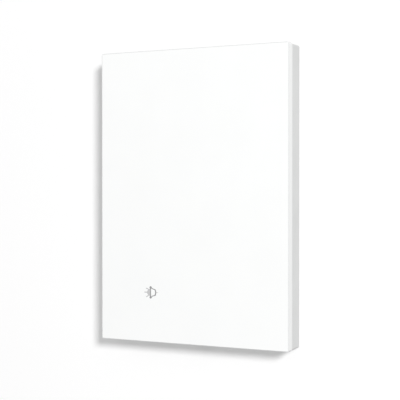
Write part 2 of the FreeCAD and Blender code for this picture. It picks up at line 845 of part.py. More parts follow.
def cut_hook_slots(body):
    """Slots in the floor that the bracket's hooks reach through."""
    half = size["hook_width"] / 2 + size["gap"]
    for sx, sz, name in CORNERS:
        x, low = size["hook_x"] * sx, HOOK_Z[sz]
        bottom = low - size["lift"] - size["gap"]
        top = low + size["bracket_thickness"] + size["small_gap"]
        slot = (x - half, x + half, bottom, top)
        hollow(body, f"hook_{name}", FLOOR_OUTER, FLOOR_INNER, rectangle, *slot)


def cut_terminal_recess(body):
    """The deeper recess for the bell wires, with bosses round the inserts."""
    z = size["terminal_z"]
    wide, tall = size["terminal_recess_width"], size["terminal_recess_height"]
    wall = size["terminal_wall"] * 2
    floor = size["terminal_floor"]
    inner = floor + size["terminal_wall"]
    slab(body, "terminal_block", FLOOR_INNER, inner, centred, 0, z, wide + wall, tall + wall)
    for side, name in ((-1, "left"), (1, "right")):
        x = size["terminal_x"] * side
        boss = (x, z, size["insert_boss"])
        slab(body, f"terminal_boss_{name}", inner, size["insert_depth"], circle, *boss)
    hollow(body, "terminal_recess", FLOOR_OUTER, floor, centred, 0, z, wide, tall)
    for side, name in ((-1, "left"), (1, "right")):
        x = size["terminal_x"] * side
        hole = (x, z, size["insert_outer"])
        hollow(body, f"insert_hole_{name}", floor, size["insert_depth"], circle, *hole)


def cut_lock(body):
    """The block at the bottom edge that the bracket's lug and the lock screw enter."""
    half = size["lock_block"] / 2
    inside = SHELL_BOTTOM + size["shell_wall"]
    block_top = -size["lock_block_top"]
    solid = (-half, half, inside, block_top)
    slab(body, "lock_block", FLOOR_INNER, size["lock_block_depth"], rectangle, *solid)
    half = size["lock_pocket"] / 2
    low, high = -size["lock_pocket_bottom"], -size["lock_pocket_top"]
    room = (-half, half, low, high)
    hollow(body, "lock_pocket", size["wall_gap"], size["lock_pocket_depth"], rectangle, *room)
    depth = -size["lock_depth"]
    bore = level(body, "lock_bore", SHELL_BOTTOM + size["lock_bore_depth"])
    circle(bore, 0, depth, size["lock_bore"])
    cut(body, bore, size["lock_bore_depth"])
    hole = level(body, "lock_hole", low)
    circle(hole, 0, depth, size["lock_web_hole"])
    cut(body, hole, size["height"] / 2 - size["lock_pocket_bottom"])


def cut_case_screws(body):
    """Counterbored holes for the four screws into the carrier's bosses."""
    seat, boss_end = size["case_bore_depth"], size["case_boss_depth"]
    for sx, sz, name in CORNERS:
        x, z = size["case_screw_x"] * sx, size["case_screw_z"] * sz
        slab(body, f"case_boss_{name}", FLOOR_INNER, boss_end, circle, x, z, size["case_boss"])
        hollow(body, f"case_bore_{name}", FLOOR_OUTER, seat, circle, x, z, size["case_bore"])
        hollow(body, f"case_hole_{name}", seat, boss_end, circle, x, z, size["case_hole"])


def cut_edge_openings(body):
    """The pairing pin's hole and the sounder's slots in the bottom edge."""
    wall_top = SHELL_BOTTOM + size["shell_wall"]
    pin = level(body, "pairing_hole", wall_top)
    clearance = size["small_gap"] * 2
    circle(pin, size["pairing_x"], -size["pairing_depth"], size["pairing_pin"] + clearance)
    cut(body, pin, size["shell_wall"])
    slots = level(body, "sound_slots", wall_top)
    for k in (-1, 0, 1):
        x = size["sounder_x"] + size["sound_slot_pitch"] * k
        centred(slots, x, -size["sound_slot_depth"], size["sound_slot_width"], size["sound_slot_height"])
    cut(body, slots, size["shell_wall"])


def build_rear_shell():
    """The shallow case behind the plate."""
    body = new_body("rear_shell")
    rim = TAPE_BACK
    slab(body, "outline", size["wall_gap"], rim, centred, 0, 0, SHELL_WIDTH, SHELL_HEIGHT)
    round_edges(body, "corners", "Fillet", size["pane_corner"], lambda e, m: upright(e))
    back = -size["wall_gap"].value
    round_edges(body, "back_edge", "Fillet", size["shell_fillet"], lambda e, m: near(m.y, back))
    wall = size["shell_wall"] * 2
    hollow(body, "cavity", FLOOR_INNER, rim, centred, 0, 0, SHELL_WIDTH - wall, SHELL_HEIGHT - wall)
    half = size["bracket_width"] / 2 + size["gap"]
    top = size["bracket_height"] / 2 + size["gap"]
    recess = (-half, half, -(top + size["lift"]), top)
    hollow(body, "bracket_recess", size["wall_gap"], FLOOR_OUTER, rectangle, *recess)
    cut_wall_screw_room(body)
    cut_hook_slots(body)
    cut_terminal_recess(body)
    cut_lock(body)
    cut_case_screws(body)
    clearance = size["small_gap"] * 2
    pin = (size["tamper_x"], size["tamper_z"], size["tamper_pin"] + clearance)
    hollow(body, "tamper_hole", FLOOR_OUTER, FLOOR_INNER, circle, *pin)
    cut_edge_openings(body)
    return body


def build_case_screws():
    """Four screws from behind into the carrier's bosses."""
    screws = []
    seat = size["case_bore_depth"]
    head_back = seat - size["case_head_height"]
    for sx, sz, name in CORNERS:
        x, z = size["case_screw_x"] * sx, size["case_screw_z"] * sz
        head = rod(f"case_head_{name}", x, head_back, z, size["case_head"], size["case_head_height"])
        shank = rod(f"case_shank_{name}", x, seat, z, size["case_shank"], size["case_shank_length"])
        socket = (x, head_back, z, size["case_socket"], size["case_socket_depth"])
        solid = fused(f"case_solid_{name}", head, shank)
        screws.append(carved(f"case_screw_{name}", solid, hexagon(f"case_socket_{name}", *socket)))
    return grouped("case_screws", *screws)


def build_label():
    """A blank rating label on the shell's back, seen through the cable opening."""
    wide, tall = size["label_width"], size["label_height"]
    back = FLOOR_OUTER - size["label_thickness"]
    return block("rating_label", 0, size["label_z"], wide, tall, back, FLOOR_OUTER)


# --------------------------------------------------------------- bracket


def build_wall_bracket():
    """The steel bracket: plate, openings, four lanced hooks and the lock lug."""
    body = new_body("wall_bracket")
    thick = size["bracket_thickness"]
    wide, tall = size["bracket_width"], size["bracket_height"]
    slab(body, "outline", ZERO, thick, centred, 0, 0, wide, tall)
    round_edges(body, "corners", "Fillet", size["bracket_corner"], lambda e, m: upright(e))

    openings = (0, 0, size["cable_width"], size["cable_height"])
    hollow(body, "cable_opening", ZERO, thick, centred, *openings)
    inside = size["cable_width"].value / 2
    corners = lambda e, m: upright(e) and near(abs(m.x), inside)
    round_edges(body, "opening_corners", "Fillet", size["cable_corner"], corners)

    length, across = size["slot_length"], size["slot_width"]
    half_tall, half_wide = size["box_tall_spacing"] / 2, size["box_wide_spacing"] / 2
    straight = length - across
    for side, name in ((1, "top"), (-1, "bottom")):
        z = half_tall * side
        hollow(body, f"slot_{name}", ZERO, thick, centred, 0, z, across, straight)
        for end in (-1, 1):
            hollow(body, f"slot_{name}_end{end + 1}", ZERO, thick, circle, 0, z + straight / 2 * end, across)
    for side, name in ((1, "right"), (-1, "left")):
        x = half_wide * side
        hollow(body, f"slot_{name}", ZERO, thick, centred, x, 0, straight, across)
        for end in (-1, 1):
            hollow(body, f"slot_{name}_end{end + 1}", ZERO, thick, circle, x + straight / 2 * end, 0, across)

    tamper_z = size["tamper_z"] + size["lift"] / 2
    window = (size["tamper_x"], tamper_z, size["tamper_window_width"], size["tamper_window_height"])
    hollow(body, "tamper_window", ZERO, thick, centred, *window)

    for sx, sz, name in CORNERS:
        build_hook(body, name, size["hook_x"] * sx, HOOK_Z[sz])

    half = size["lug_width"] / 2
    low = -(tall / 2)
    slab(body, "lug", ZERO, size["lug_reach"], rectangle, -half, half, low, low + thick)
    collar = level(body, "lug_collar", low)
    circle(collar, 0, -size["lock_depth"], size["lug_collar"])
    grow(body, collar, thick + size["lug_collar_height"])
    thread = level(body, "lug_hole", low + thick + size["lug_collar_height"])
    circle(thread, 0, -size["lock_depth"], size["lock_hole"])
    cut(body, thread, thick + size["lug_collar_height"])
    return body


def build_hook(body, name, x, low):
    """One hook: the window it was bent from, its foot and its upright tongue."""
    thick = size["bracket_thickness"]
    half = size["hook_width"] / 2
    reach, rise = size["hook_reach"], size["hook_rise"]
    left, right = x - half, x + half
    window_top = low + thick + rise + size["gap"]
    margin = size["gap"]
    hollow(body, f"window_{name}", ZERO, thick, rectangle, left - margin, right + margin, low, window_top)
    foot = (left, right, low - size["gap"], low + thick)
    slab(body, f"bend_{name}", ZERO, thick, rectangle, *foot)
    slab(body, f"foot_{name}", thick, reach, rectangle, left, right, low, low + thick)
    slab(body, f"tongue_{name}", reach - thick, reach, rectangle, left, right, low, low + rise)


def build_lock_screw():
    """The lock screw and its spring washer, pointing up from the bottom edge."""
    depth = size["lock_depth"]
    seat = SHELL_BOTTOM + size["lock_bore_depth"]
    washer_low = seat - size["lock_washer_thickness"]
    thick = size["lock_washer_thickness"]
    ring = rod("lock_washer_round", 0, depth, washer_low, size["lock_head"], thick, "up")
    hole = rod("lock_washer_hole", 0, depth, washer_low, size["lock_web_hole"], thick, "up")
    carved("lock_washer", ring, hole)
    head_low = washer_low - size["lock_head_height"]
    head = rod("lock_head_round", 0, depth, head_low, size["lock_head"], size["lock_head_height"], "up")
    shank = rod("lock_shank_round", 0, depth, washer_low, size["lock_shank"], size["lock_shank_length"], "up")
    solid = fused("lock_solid", head, shank)
    socket = (0, depth, head_low, size["lock_socket"] / 2, size["lock_socket_depth"], "up")
    carved("lock_screw", solid, hexagon("lock_socket_hollow", *socket))


# ------------------------------------------------------------------ build

NODES = [
    "front_pane",
    "sign_inlay",
    "bond_tape",
    "touch_foil",
    "front_carrier",
    "main_board",
    "light_diffuser",
    "sign_leds",
    "light_shroud",
    *ON_BOARD,
    "radio_shield",
    "power_capacitors",
    "small_passives",
    "pairing_switch",
    "pairing_button",
    "tamper_plunger",
    "tamper_spring",
    "terminal_inserts",
    "terminal_contacts",
    "terminal_washer_left",
    "terminal_washer_right",
    "terminal_screw_left",
    "terminal_screw_right",
    "rear_shell",
    "case_screws",
    "rating_label",
    "wall_bracket",
    "lock_washer",
    "lock_screw",
]


def build_all():
    build_front_pane(build_sign())
    build_bond_tape()
    build_touch_foil()
    build_front_carrier()
    build_main_board()
    build_sign_light()
    for name in ON_BOARD:
        on_board(name)
    build_radio_shield()
    build_capacitors()
    build_small_passives()
    build_pairing_switch()
    build_pairing_button()
    build_tamper()
    build_terminals()
    build_rear_shell()
    build_case_screws()
    build_label()
    build_wall_bracket()
    build_lock_screw()
    doc.recompute()


def write_all():
    """Check every object, then write each sub-part to a file of its own."""
    for thing in doc.Objects:
        if "Invalid" in thing.State or "Error" in thing.State:
            raise RuntimeError(f"{thing.Label} failed: {thing.State}")
    shapes = {}
    for name in NODES:
        found = doc.getObjectsByLabel(name)
        if len(found) != 1:
            raise RuntimeError(f"{name} is there {len(found)} times")
        shape = found[0].Shape
        if shape.isNull() or not shape.isValid():
            raise RuntimeError(f"{name} has no valid shape")
        shapes[name] = shape
    os.makedirs("parts", exist_ok=True)
    for name, shape in shapes.items():
        shape.exportStep(f"parts/{name}.step")
        print(f"{name:24s} {len(shape.Solids)} solids {shape.Volume:10.2f} mm3")


build_all()
write_all()
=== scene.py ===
import json
import math

import bmesh
import bpy
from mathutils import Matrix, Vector


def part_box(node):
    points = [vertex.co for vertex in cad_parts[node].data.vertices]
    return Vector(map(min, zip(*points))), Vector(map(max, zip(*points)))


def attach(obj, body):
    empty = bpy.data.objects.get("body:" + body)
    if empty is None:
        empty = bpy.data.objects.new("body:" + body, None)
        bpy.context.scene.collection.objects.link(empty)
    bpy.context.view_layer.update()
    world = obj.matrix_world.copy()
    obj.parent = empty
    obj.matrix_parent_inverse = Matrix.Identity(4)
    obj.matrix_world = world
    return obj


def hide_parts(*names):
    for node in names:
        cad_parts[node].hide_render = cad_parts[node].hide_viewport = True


# A flush-fronted touch doorbell on a white wall, seen from its right. The wall is
# the plane y = 0, the front looks along -Y, and every length is in metres.

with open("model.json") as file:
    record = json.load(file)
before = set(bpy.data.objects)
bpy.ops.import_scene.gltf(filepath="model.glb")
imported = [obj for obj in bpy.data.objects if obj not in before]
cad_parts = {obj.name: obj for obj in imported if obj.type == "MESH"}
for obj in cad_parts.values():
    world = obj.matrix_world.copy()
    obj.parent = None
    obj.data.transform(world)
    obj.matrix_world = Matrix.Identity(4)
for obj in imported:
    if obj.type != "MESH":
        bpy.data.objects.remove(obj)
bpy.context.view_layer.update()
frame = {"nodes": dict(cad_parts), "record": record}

BODIES = frame["record"]["behaviour"]["bodies"]
BODY_OF = {node: body for body, nodes in BODIES.items() for node in nodes}
SLOT_OF = {part["node"]: part["material_slot"] for part in frame["record"]["subparts"]}
MM = 0.001

# ------------------------------------------------------------ node materials

# A wave texture of scale 1 has a band every pi / 10 units.
WAVE_PERIOD = math.pi / 10.0
SPANGLE_MM = 5.0


class Paint:
    """One procedural material, built up node by node on a principled shader."""

    def __init__(self, name, colour, roughness, metallic=0.0):
        self.material = bpy.data.materials.new(name)
        self.material.use_nodes = True
        self.material.diffuse_color = (*colour, 1.0)
        self.tree = self.material.node_tree
        self.shader = self.tree.nodes["Principled BSDF"]
        self.shader.inputs["Base Color"].default_value = (*colour, 1.0)
        self.shader.inputs["Roughness"].default_value = roughness
        self.shader.inputs["Metallic"].default_value = metallic
        self.colour = colour
        self.roughness = roughness
        self.height = None

    def node(self, kind, **settings):
        """A new node; each setting is one of its own options or else the value of an input."""
        made = self.tree.nodes.new(kind)
        for key, value in settings.items():
            if hasattr(made, key):
                setattr(made, key, value)
            else:
                made.inputs[key].default_value = value
        return made

    def link(self, source, target):
        self.tree.links.new(source, target)

    def place(self, stretch=(1.0, 1.0, 1.0)):
        """Object coordinates in millimetres, stretched along the axes."""
        where = self.node("ShaderNodeTexCoord")
        mapping = self.node("ShaderNodeMapping")
        mapping.inputs["Scale"].default_value = [s / MM for s in stretch]
        self.link(where.outputs["Object"], mapping.inputs["Vector"])
        return mapping.outputs["Vector"]

    def noise(self, size_mm, detail=3.0, stretch=(1.0, 1.0, 1.0)):
        """Cloudy noise whose blobs are about size_mm across, in so many octaves."""
        made = self.node("ShaderNodeTexNoise", Scale=1.0 / size_mm, Detail=detail)
        self.link(self.place(stretch), made.inputs["Vector"])
        return made.outputs["Fac"]

    def cells(self, size_mm, feature="F1", output="Distance"):
        """Voronoi cells about size_mm across."""
        made = self.node("ShaderNodeTexVoronoi", feature=feature, Scale=1.0 / size_mm)
        self.link(self.place(), made.inputs["Vector"])
        return made.outputs[output]

    def stripes(self, pitch_mm, direction):
        """Regular bands pitch_mm apart, one after another along the direction."""
        made = self.node("ShaderNodeTexWave", wave_type="BANDS", bands_direction=direction)
        made.inputs["Scale"].default_value = WAVE_PERIOD / pitch_mm
        self.link(self.place(), made.inputs["Vector"])
        return made.outputs["Fac"]

    def spread(self, fac, low, high, from_low=0.3, from_high=0.7):
        """Remap a 0 to 1 pattern onto low to high."""
        made = self.node("ShaderNodeMapRange")
        made.inputs["From Min"].default_value = from_low
        made.inputs["From Max"].default_value = from_high
        made.inputs["To Min"].default_value = low
        made.inputs["To Max"].default_value = high
        self.link(fac, made.inputs["Value"])
        return made.outputs["Result"]

    def tint(self, fac, darkest, lightest, from_low=0.3, from_high=0.7):
        """Let the pattern move the base colour between two shades of it."""
        ramp = self.node("ShaderNodeValToRGB")
        ramp.color_ramp.elements[0].position = from_low
        ramp.color_ramp.elements[1].position = from_high
        ramp.color_ramp.elements[0].color = (*darkest, 1.0)
        ramp.color_ramp.elements[1].color = (*lightest, 1.0)
        self.link(fac, ramp.inputs["Fac"])
        self.link(ramp.outputs["Color"], self.shader.inputs["Base Color"])
        return self

    def shade(self, fac, amount, from_low=0.3, from_high=0.7):
        """Tint by a share of the base colour, down and up by amount."""
        darkest = [c * (1.0 - amount) for c in self.colour]
        lightest = [min(1.0, c * (1.0 + amount)) for c in self.colour]
        return self.tint(fac, darkest, lightest, from_low, from_high)

    def gloss(self, fac, amount, from_low=0.3, from_high=0.7):
        """Let the pattern move the roughness by amount either way."""
        low, high = max(0.02, self.roughness - amount), min(1.0, self.roughness + amount)
        self.link(self.spread(fac, low, high, from_low, from_high), self.shader.inputs["Roughness"])
        return self

    def relief(self, fac, depth_mm, strength=1.0):
        """Add the pattern to the surface as a bump of the given depth."""
        bump = self.node("ShaderNodeBump")
        bump.inputs["Strength"].default_value = strength
        bump.inputs["Distance"].default_value = depth_mm * MM
        self.link(fac, bump.inputs["Height"])
        if self.height is not None:
            self.link(self.height, bump.inputs["Normal"])
        self.height = bump.outputs["Normal"]
        self.link(self.height, self.shader.inputs["Normal"])
        return self

    def set(self, **sockets):
        """Constant values on the shader's own sockets, by name."""
        for name, value in sockets.items():
            self.shader.inputs[name.replace("_", " ")].default_value = value
        return self


def opal_plate():
    """Opal white plate: glossy, very even, with the faintest mottle."""
    paint = Paint("opal_plate", (0.943, 0.95, 0.946), 0.16)
    paint.set(Coat_Weight=0.35, Coat_Roughness=0.06)
    paint.shade(paint.noise(18.0, 2.0), 0.006)
    paint.gloss(paint.noise(2.5, 4.0), 0.03)
    return paint.relief(paint.noise(9.0, 1.0), 0.004, 0.25).material


def ground_edge_and_painted_shade():
    """The plate's ground arris: matt and finely scratched, and a little greyer: that darker grey is
    painted shade, the thin shaded line along the plate's edges.
    """
    # The darker base colour is painted shade along the plate's edges; the matt scratched finish is real.
    paint = Paint("ground_arris_painted_shade", (0.73, 0.74, 0.735), 0.6)
    paint.shade(paint.noise(0.3, 4.0), 0.03)
    return paint.relief(paint.noise(0.08, 3.0), 0.006, 0.6).material


def sign_ink():
    """Grey screen-printed ink with a slightly uneven edge and surface."""
    paint = Paint("sign_ink", (0.3, 0.3, 0.305), 0.5)
    paint.shade(paint.noise(0.25, 3.0), 0.08)
    return paint.relief(paint.noise(0.06, 2.0), 0.004).material


def pale_ink():
    """The same ink printed as a light tint."""
    paint = Paint("sign_tint", (0.55, 0.55, 0.555), 0.5)
    paint.shade(paint.noise(0.25, 3.0), 0.05)
    return paint.relief(paint.noise(0.06, 2.0), 0.004).material


def spark_plastic(name, colour, roughness=0.55, grain_mm=0.35, depth_mm=0.03):
    """Moulded plastic from a spark-eroded tool."""
    paint = Paint(name, colour, roughness)
    paint.shade(paint.noise(12.0, 3.0), 0.025)
    paint.gloss(paint.noise(grain_mm * 4.0, 3.0), 0.03)
    paint.relief(paint.cells(grain_mm, "SMOOTH_F1"), depth_mm, 0.5)
    return paint.relief(paint.noise(grain_mm * 0.6, 4.0), depth_mm * 0.6, 0.4).material


def smooth_plastic(name, colour, roughness=0.4, clear=0.0):
    """Moulded plastic from a polished tool, with faint flow marks."""
    paint = Paint(name, colour, roughness)
    paint.set(Transmission_Weight=clear)
    paint.shade(paint.noise(3.0, 2.0, (0.3, 1.0, 1.0)), 0.04)
    paint.gloss(paint.noise(0.8, 3.0), 0.05)
    return paint.relief(paint.noise(0.5, 2.0), 0.006, 0.4).material


def chip_resin():
    """Black package resin, fine-grained and slightly dusty."""
    paint = Paint("chip_resin", (0.032, 0.032, 0.036), 0.62)
    paint.shade(paint.noise(0.15, 4.0), 0.3)
    return paint.relief(paint.noise(0.08, 3.0), 0.01, 0.5).material


def foam_tape():
    """Grey closed-cell foam, with pores on its cut edge."""
    paint = Paint("foam_tape", (0.42, 0.43, 0.44), 0.9)
    paint.shade(paint.cells(0.12, "F1"), 0.25, 0.0, 0.6)
    return paint.relief(paint.cells(0.1, "F1"), 0.03, 0.8).material


def sensing_foil():
    """Amber film with a fine grid of copper sensing lines."""
    paint = Paint("sensing_foil", (0.62, 0.34, 0.09), 0.25)
    paint.tint(paint.stripes(2.0, "X"), (0.72, 0.33, 0.16), (0.66, 0.38, 0.1), 0.72, 0.78)
    paint.gloss(paint.noise(6.0, 2.0), 0.08)
    paint.relief(paint.stripes(2.0, "Z"), 0.02, 0.3)
    return paint.relief(paint.noise(5.0, 2.0), 0.05, 0.4).material


def solder_mask(name, colour, track_colour):
    """Lacquered circuit board with runs of copper tracks showing through."""
    paint = Paint(name, colour, 0.3)
    paint.set(Coat_Weight=0.3, Coat_Roughness=0.1)
    patches = paint.node("ShaderNodeTexVoronoi", distance="MANHATTAN", Scale=0.14)
    paint.link(paint.place((1.0, 0.01, 1.0)), patches.inputs["Vector"])
    choice = paint.spread(patches.outputs["Color"], 0.0, 1.0, 0.48, 0.5)
    mix = paint.node("ShaderNodeMix")
    paint.link(choice, mix.inputs["Factor"])
    paint.link(paint.stripes(1.1, "X"), mix.inputs["A"])
    paint.link(paint.stripes(1.4, "Z"), mix.inputs["B"])
    tracks = mix.outputs["Result"]
    paint.tint(tracks, colour, track_colour, 0.78, 0.84)
    paint.gloss(paint.noise(1.0, 3.0), 0.06)
    return paint.relief(tracks, 0.02, 0.4).material


def plated_steel(name, colour, roughness, grain=(1.0, 1.0, 1.0)):
    """Plated steel with fine tool marks and dull patches."""
    paint = Paint(name, colour, roughness, 1.0)
    paint.shade(paint.noise(1.6, 3.0), 0.08)
    paint.gloss(paint.noise(0.5, 4.0), 0.09)
    return paint.relief(paint.noise(0.2, 2.0, grain), 0.003, 0.5).material


def galvanised_sheet():
    """Zinc-coated sheet: interlocking spangles and faint rolling lines."""
    paint = Paint("galvanised_sheet", (0.68, 0.7, 0.72), 0.36, 1.0)
    spangle = paint.cells(SPANGLE_MM, "F1", "Color")
    split = paint.node("ShaderNodeSeparateColor")
    paint.link(spangle, split.inputs["Color"])
    paint.shade(split.outputs["Red"], 0.05, 0.0, 1.0)
    paint.gloss(split.outputs["Green"], 0.08, 0.0, 1.0)
    paint.relief(paint.cells(SPANGLE_MM, "DISTANCE_TO_EDGE"), 0.01, 0.3)
    return paint.relief(paint.noise(0.4, 3.0, (1.0, 1.0, 0.05)), 0.006, 0.4).material


def turned_brass(name, colour):
    """Brass with fine turning lines and a little tarnish."""
    paint = Paint(name, colour, 0.28, 1.0)
    tarnished = [c * 0.62 for c in colour]
    paint.tint(paint.noise(0.9, 4.0), tarnished, colour, 0.25, 0.6)
    paint.gloss(paint.noise(0.4, 3.0), 0.1)
    return paint.relief(paint.noise(0.1, 2.0, (0.2, 3.0, 0.2)), 0.008, 0.6).material


def blackened_steel():
    """Black oxide with the steel showing faintly on worn places."""
    paint = Paint("blackened_steel", (0.045, 0.045, 0.05), 0.42, 0.85)
    paint.tint(paint.noise(0.7, 5.0), (0.03, 0.03, 0.034), (0.15, 0.15, 0.16), 0.5, 0.8)
    paint.gloss(paint.noise(0.3, 3.0), 0.12)
    return paint.relief(paint.noise(0.15, 3.0), 0.008, 0.5).material


def label_film():
    """Blank silver-grey label film with a fibrous print base."""
    paint = Paint("label_film", (0.7, 0.705, 0.71), 0.38)
    paint.shade(paint.noise(0.5, 4.0, (0.2, 1.0, 1.0)), 0.05)
    return paint.relief(paint.noise(0.3, 3.0), 0.005, 0.4).material


def glazed(name, colour):
    """Dipped component body: glossy lacquer over a lumpy core."""
    paint = Paint(name, colour, 0.22)
    paint.set(Coat_Weight=0.5, Coat_Roughness=0.08)
    paint.shade(paint.noise(1.2, 3.0), 0.14)
    return paint.relief(paint.noise(1.6, 2.0), 0.05, 0.5).material


MATERIALS = {
    "pane": opal_plate(),
    "sign_print": sign_ink(),
    "tape": foam_tape(),
    "foil": sensing_foil(),
    "carrier": spark_plastic("carrier_plastic", (0.66, 0.67, 0.68)),
    "board": solder_mask("board_mask", (0.012, 0.075, 0.034), (0.03, 0.15, 0.06)),
    "diffuser": smooth_plastic("milky_plug", (0.9, 0.9, 0.87), 0.45, 0.15),
    "led": smooth_plastic("led_resin", (0.85, 0.8, 0.42), 0.2, 0.3),
    "shroud": spark_plastic("shroud_plastic", (0.02, 0.02, 0.022), 0.6, 0.2),
    "chip": chip_resin(),
    "can_metal": plated_steel("tinned_can", (0.8, 0.79, 0.77), 0.32, (0.1, 1.0, 2.0)),
    "radio_board": solder_mask("radio_mask", (0.014, 0.014, 0.02), (0.03, 0.03, 0.042)),
    "ferrite": spark_plastic("pressed_ferrite", (0.055, 0.055, 0.06), 0.75, 0.15),
    "fuse_body": glazed("fuse_lacquer", (0.03, 0.14, 0.05)),
    "ceramic": glazed("absorber_lacquer", (0.03, 0.05, 0.14)),
    "sounder_body": spark_plastic("sounder_plastic", (0.02, 0.02, 0.02), 0.5, 0.25),
    "capacitor_body": smooth_plastic("capacitor_resin", (0.42, 0.26, 0.05), 0.5),
    "passive_body": glazed("passive_ceramic", (0.16, 0.1, 0.06)),
    "button_plastic": smooth_plastic("acetal", (0.72, 0.72, 0.71), 0.42),
    "spring_steel": plated_steel("spring_wire", (0.72, 0.72, 0.73), 0.25, (0.3, 3.0, 0.3)),
    "brass": turned_brass("turned_brass", (0.78, 0.56, 0.24)),
    "contact_bronze": turned_brass("contact_bronze", (0.8, 0.6, 0.36)),
    "zinc_steel": plated_steel("zinc_plate", (0.78, 0.79, 0.82), 0.28),
    "dark_steel": blackened_steel(),
    "shell_plastic": spark_plastic("shell_plastic", (0.71, 0.717, 0.712), 0.55, 0.4, 0.035),
    "label_film": label_film(),
    "bracket_steel": galvanised_sheet(),
}
PALE_INK = pale_ink()
# Arris material: real matt ground finish, with its darker grey painted shade along the plate's edges.
GROUND_EDGE_AND_PAINTED_SHADE = ground_edge_and_painted_shade()


def paint_with(piece, slot):
    """Give a mesh the one material of the record's slot that is given."""
    piece.data.materials.clear()
    piece.data.materials.append(MATERIALS[slot])


def paint_nodes():
    """A procedural material on every CAD node."""
    for name, node in frame["nodes"].items():
        for holder in node.material_slots:
            holder.material = MATERIALS[SLOT_OF[name]]


# ------------------------------------------------------------- mesh helpers

# How strongly large faces stay flat in smooth shading, and what counts as an edge or as flat.
FLAT_WEIGHT = 80
SHARP_ANGLE = 32.0
FLAT_ANGLE = 0.6
WELD_DISTANCE = 0.002 * MM


def new_piece(name, mesh_work, nodes, slot=None, body=None):
    """Turn a bmesh into a piece that replaces its nodes, or rides on a body beside them."""
    mesh = bpy.data.meshes.new(name)
    bmesh.ops.recalc_face_normals(mesh_work, faces=mesh_work.faces)
    mesh_work.to_mesh(mesh)
    mesh_work.free()
    piece = bpy.data.objects.new(name, mesh)
    bpy.context.scene.collection.objects.link(piece)
    slot = slot or SLOT_OF[nodes[0]]
    paint_with(piece, slot)
    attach(piece, body or BODY_OF[nodes[0]])
    if nodes:
        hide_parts(*nodes)
    return piece


def smooth_by_weight(piece):
    """Smooth shading that keeps large faces flat."""
    for face in piece.data.polygons:
        face.use_smooth = True
    even = piece.modifiers.new("even_shading", "WEIGHTED_NORMAL")
    even.weight = FLAT_WEIGHT
    return even


def soften(piece, width, segments=2):
    """Round a piece's sharp edges and shade it smooth across them."""
    bevel = piece.modifiers.new("rounded_edges", "BEVEL")
    bevel.width = width
    bevel.segments = segments
    bevel.limit_method = "ANGLE"
    bevel.angle_limit = math.radians(SHARP_ANGLE)
    bevel.use_clamp_overlap = True
    bevel.miter_outer = "MITER_ARC"
    smooth_by_weight(piece).keep_sharp = True


def welded(node):
    """A working copy of a CAD node's mesh with its split corners joined."""
    work = bmesh.new()
    work.from_mesh(frame["nodes"][node].data)
    bmesh.ops.remove_doubles(work, verts=work.verts, dist=WELD_DISTANCE)
    return work


def refine(node, width):
    """Replace a CAD node by its own shape, with flat faces joined up and edges rounded."""
    work = welded(node)
    flat = math.radians(FLAT_ANGLE)
    bmesh.ops.dissolve_limit(work, angle_limit=flat, verts=work.verts, edges=work.edges)
    for layer in list(work.loops.layers.float_vector.values()):
        work.loops.layers.float_vector.remove(layer)
    soften(new_piece(f"{node}_refined", work, [node]), width)


def bridge_rings(work, rings):
    """Skin a stack of point rings and close its two ends."""
    made = [[work.verts.new(p) for p in ring] for ring in rings]
    for low, high in zip(made, made[1:]):
        for k in range(len(low)):
            j = (k + 1) % len(low)
            work.faces.new((low[k], low[j], high[j], high[k]))
    work.faces.new(list(reversed(made[0])))
    work.faces.new(made[-1])


def rounded_outline(half_x, half_z, radius, steps):
    """Points (x, z) of a rectangle with round corners, starting at the right."""
    points = []
    for quarter, (sx, sz) in enumerate(((1, 1), (-1, 1), (-1, -1), (1, -1))):
        for k in range(steps + 1):
            turn = math.radians(90.0) * (quarter + k / steps)
            x = sx * (half_x - radius) + radius * math.cos(turn)
            z = sz * (half_z - radius) + radius * math.sin(turn)
            points.append((x, z))
    return points


# -------------------------------------------------------------- front plate

PRINT_RELIEF = 0.012 * MM
FRONT_ARRIS = 0.3 * MM
BACK_ARRIS = 0.12 * MM
PLATE_CORNER = 0.8 * MM
CORNER_STEPS = 8
ARRIS_STEPS = 5
# Least part of a face's normal along one axis to count as square on, and along y to count as arris.
SQUARE_ON = 0.99
ARRIS_TILT = 0.1


def arris_profile(front, back):
    """(inset, y) pairs from the back face round both arrises to the front."""
    profile = []
    for k in range(ARRIS_STEPS + 1):
        turn = math.radians(90.0) * k / ARRIS_STEPS
        inset = BACK_ARRIS * (1.0 - math.sin(turn))
        profile.append((inset, back - BACK_ARRIS * (1.0 - math.cos(turn))))
    for k in range(ARRIS_STEPS + 1):
        turn = math.radians(90.0) * k / ARRIS_STEPS
        inset = FRONT_ARRIS * (1.0 - math.cos(turn))
        profile.append((inset, front + FRONT_ARRIS * (1.0 - math.sin(turn))))
    return profile


def build_plate():
    """The opal plate, with round arrises front and back."""
    low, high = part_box("front_pane")
    half_x, half_z = (high.x - low.x) / 2, (high.z - low.z) / 2
    rings = []
    for inset, y in arris_profile(low.y + PRINT_RELIEF, high.y):
        outline = rounded_outline(half_x - inset, half_z - inset, PLATE_CORNER - inset / 2, CORNER_STEPS)
        rings.append([(x, y, z) for x, z in outline])
    work = bmesh.new()
    bridge_rings(work, rings)
    plate = new_piece("opal_plate", work, ["front_pane"])
    # The arris faces take the darker grey material, which paints a shaded line round the plate's edges.
    plate.data.materials.append(GROUND_EDGE_AND_PAINTED_SHADE)
    for face in plate.data.polygons:
        slanted = max(abs(c) for c in face.normal) < SQUARE_ON
        if slanted and abs(face.normal.y) > ARRIS_TILT:
            face.material_index = 1
    smooth_by_weight(plate)


# ----------------------------------------------------------------- the sign

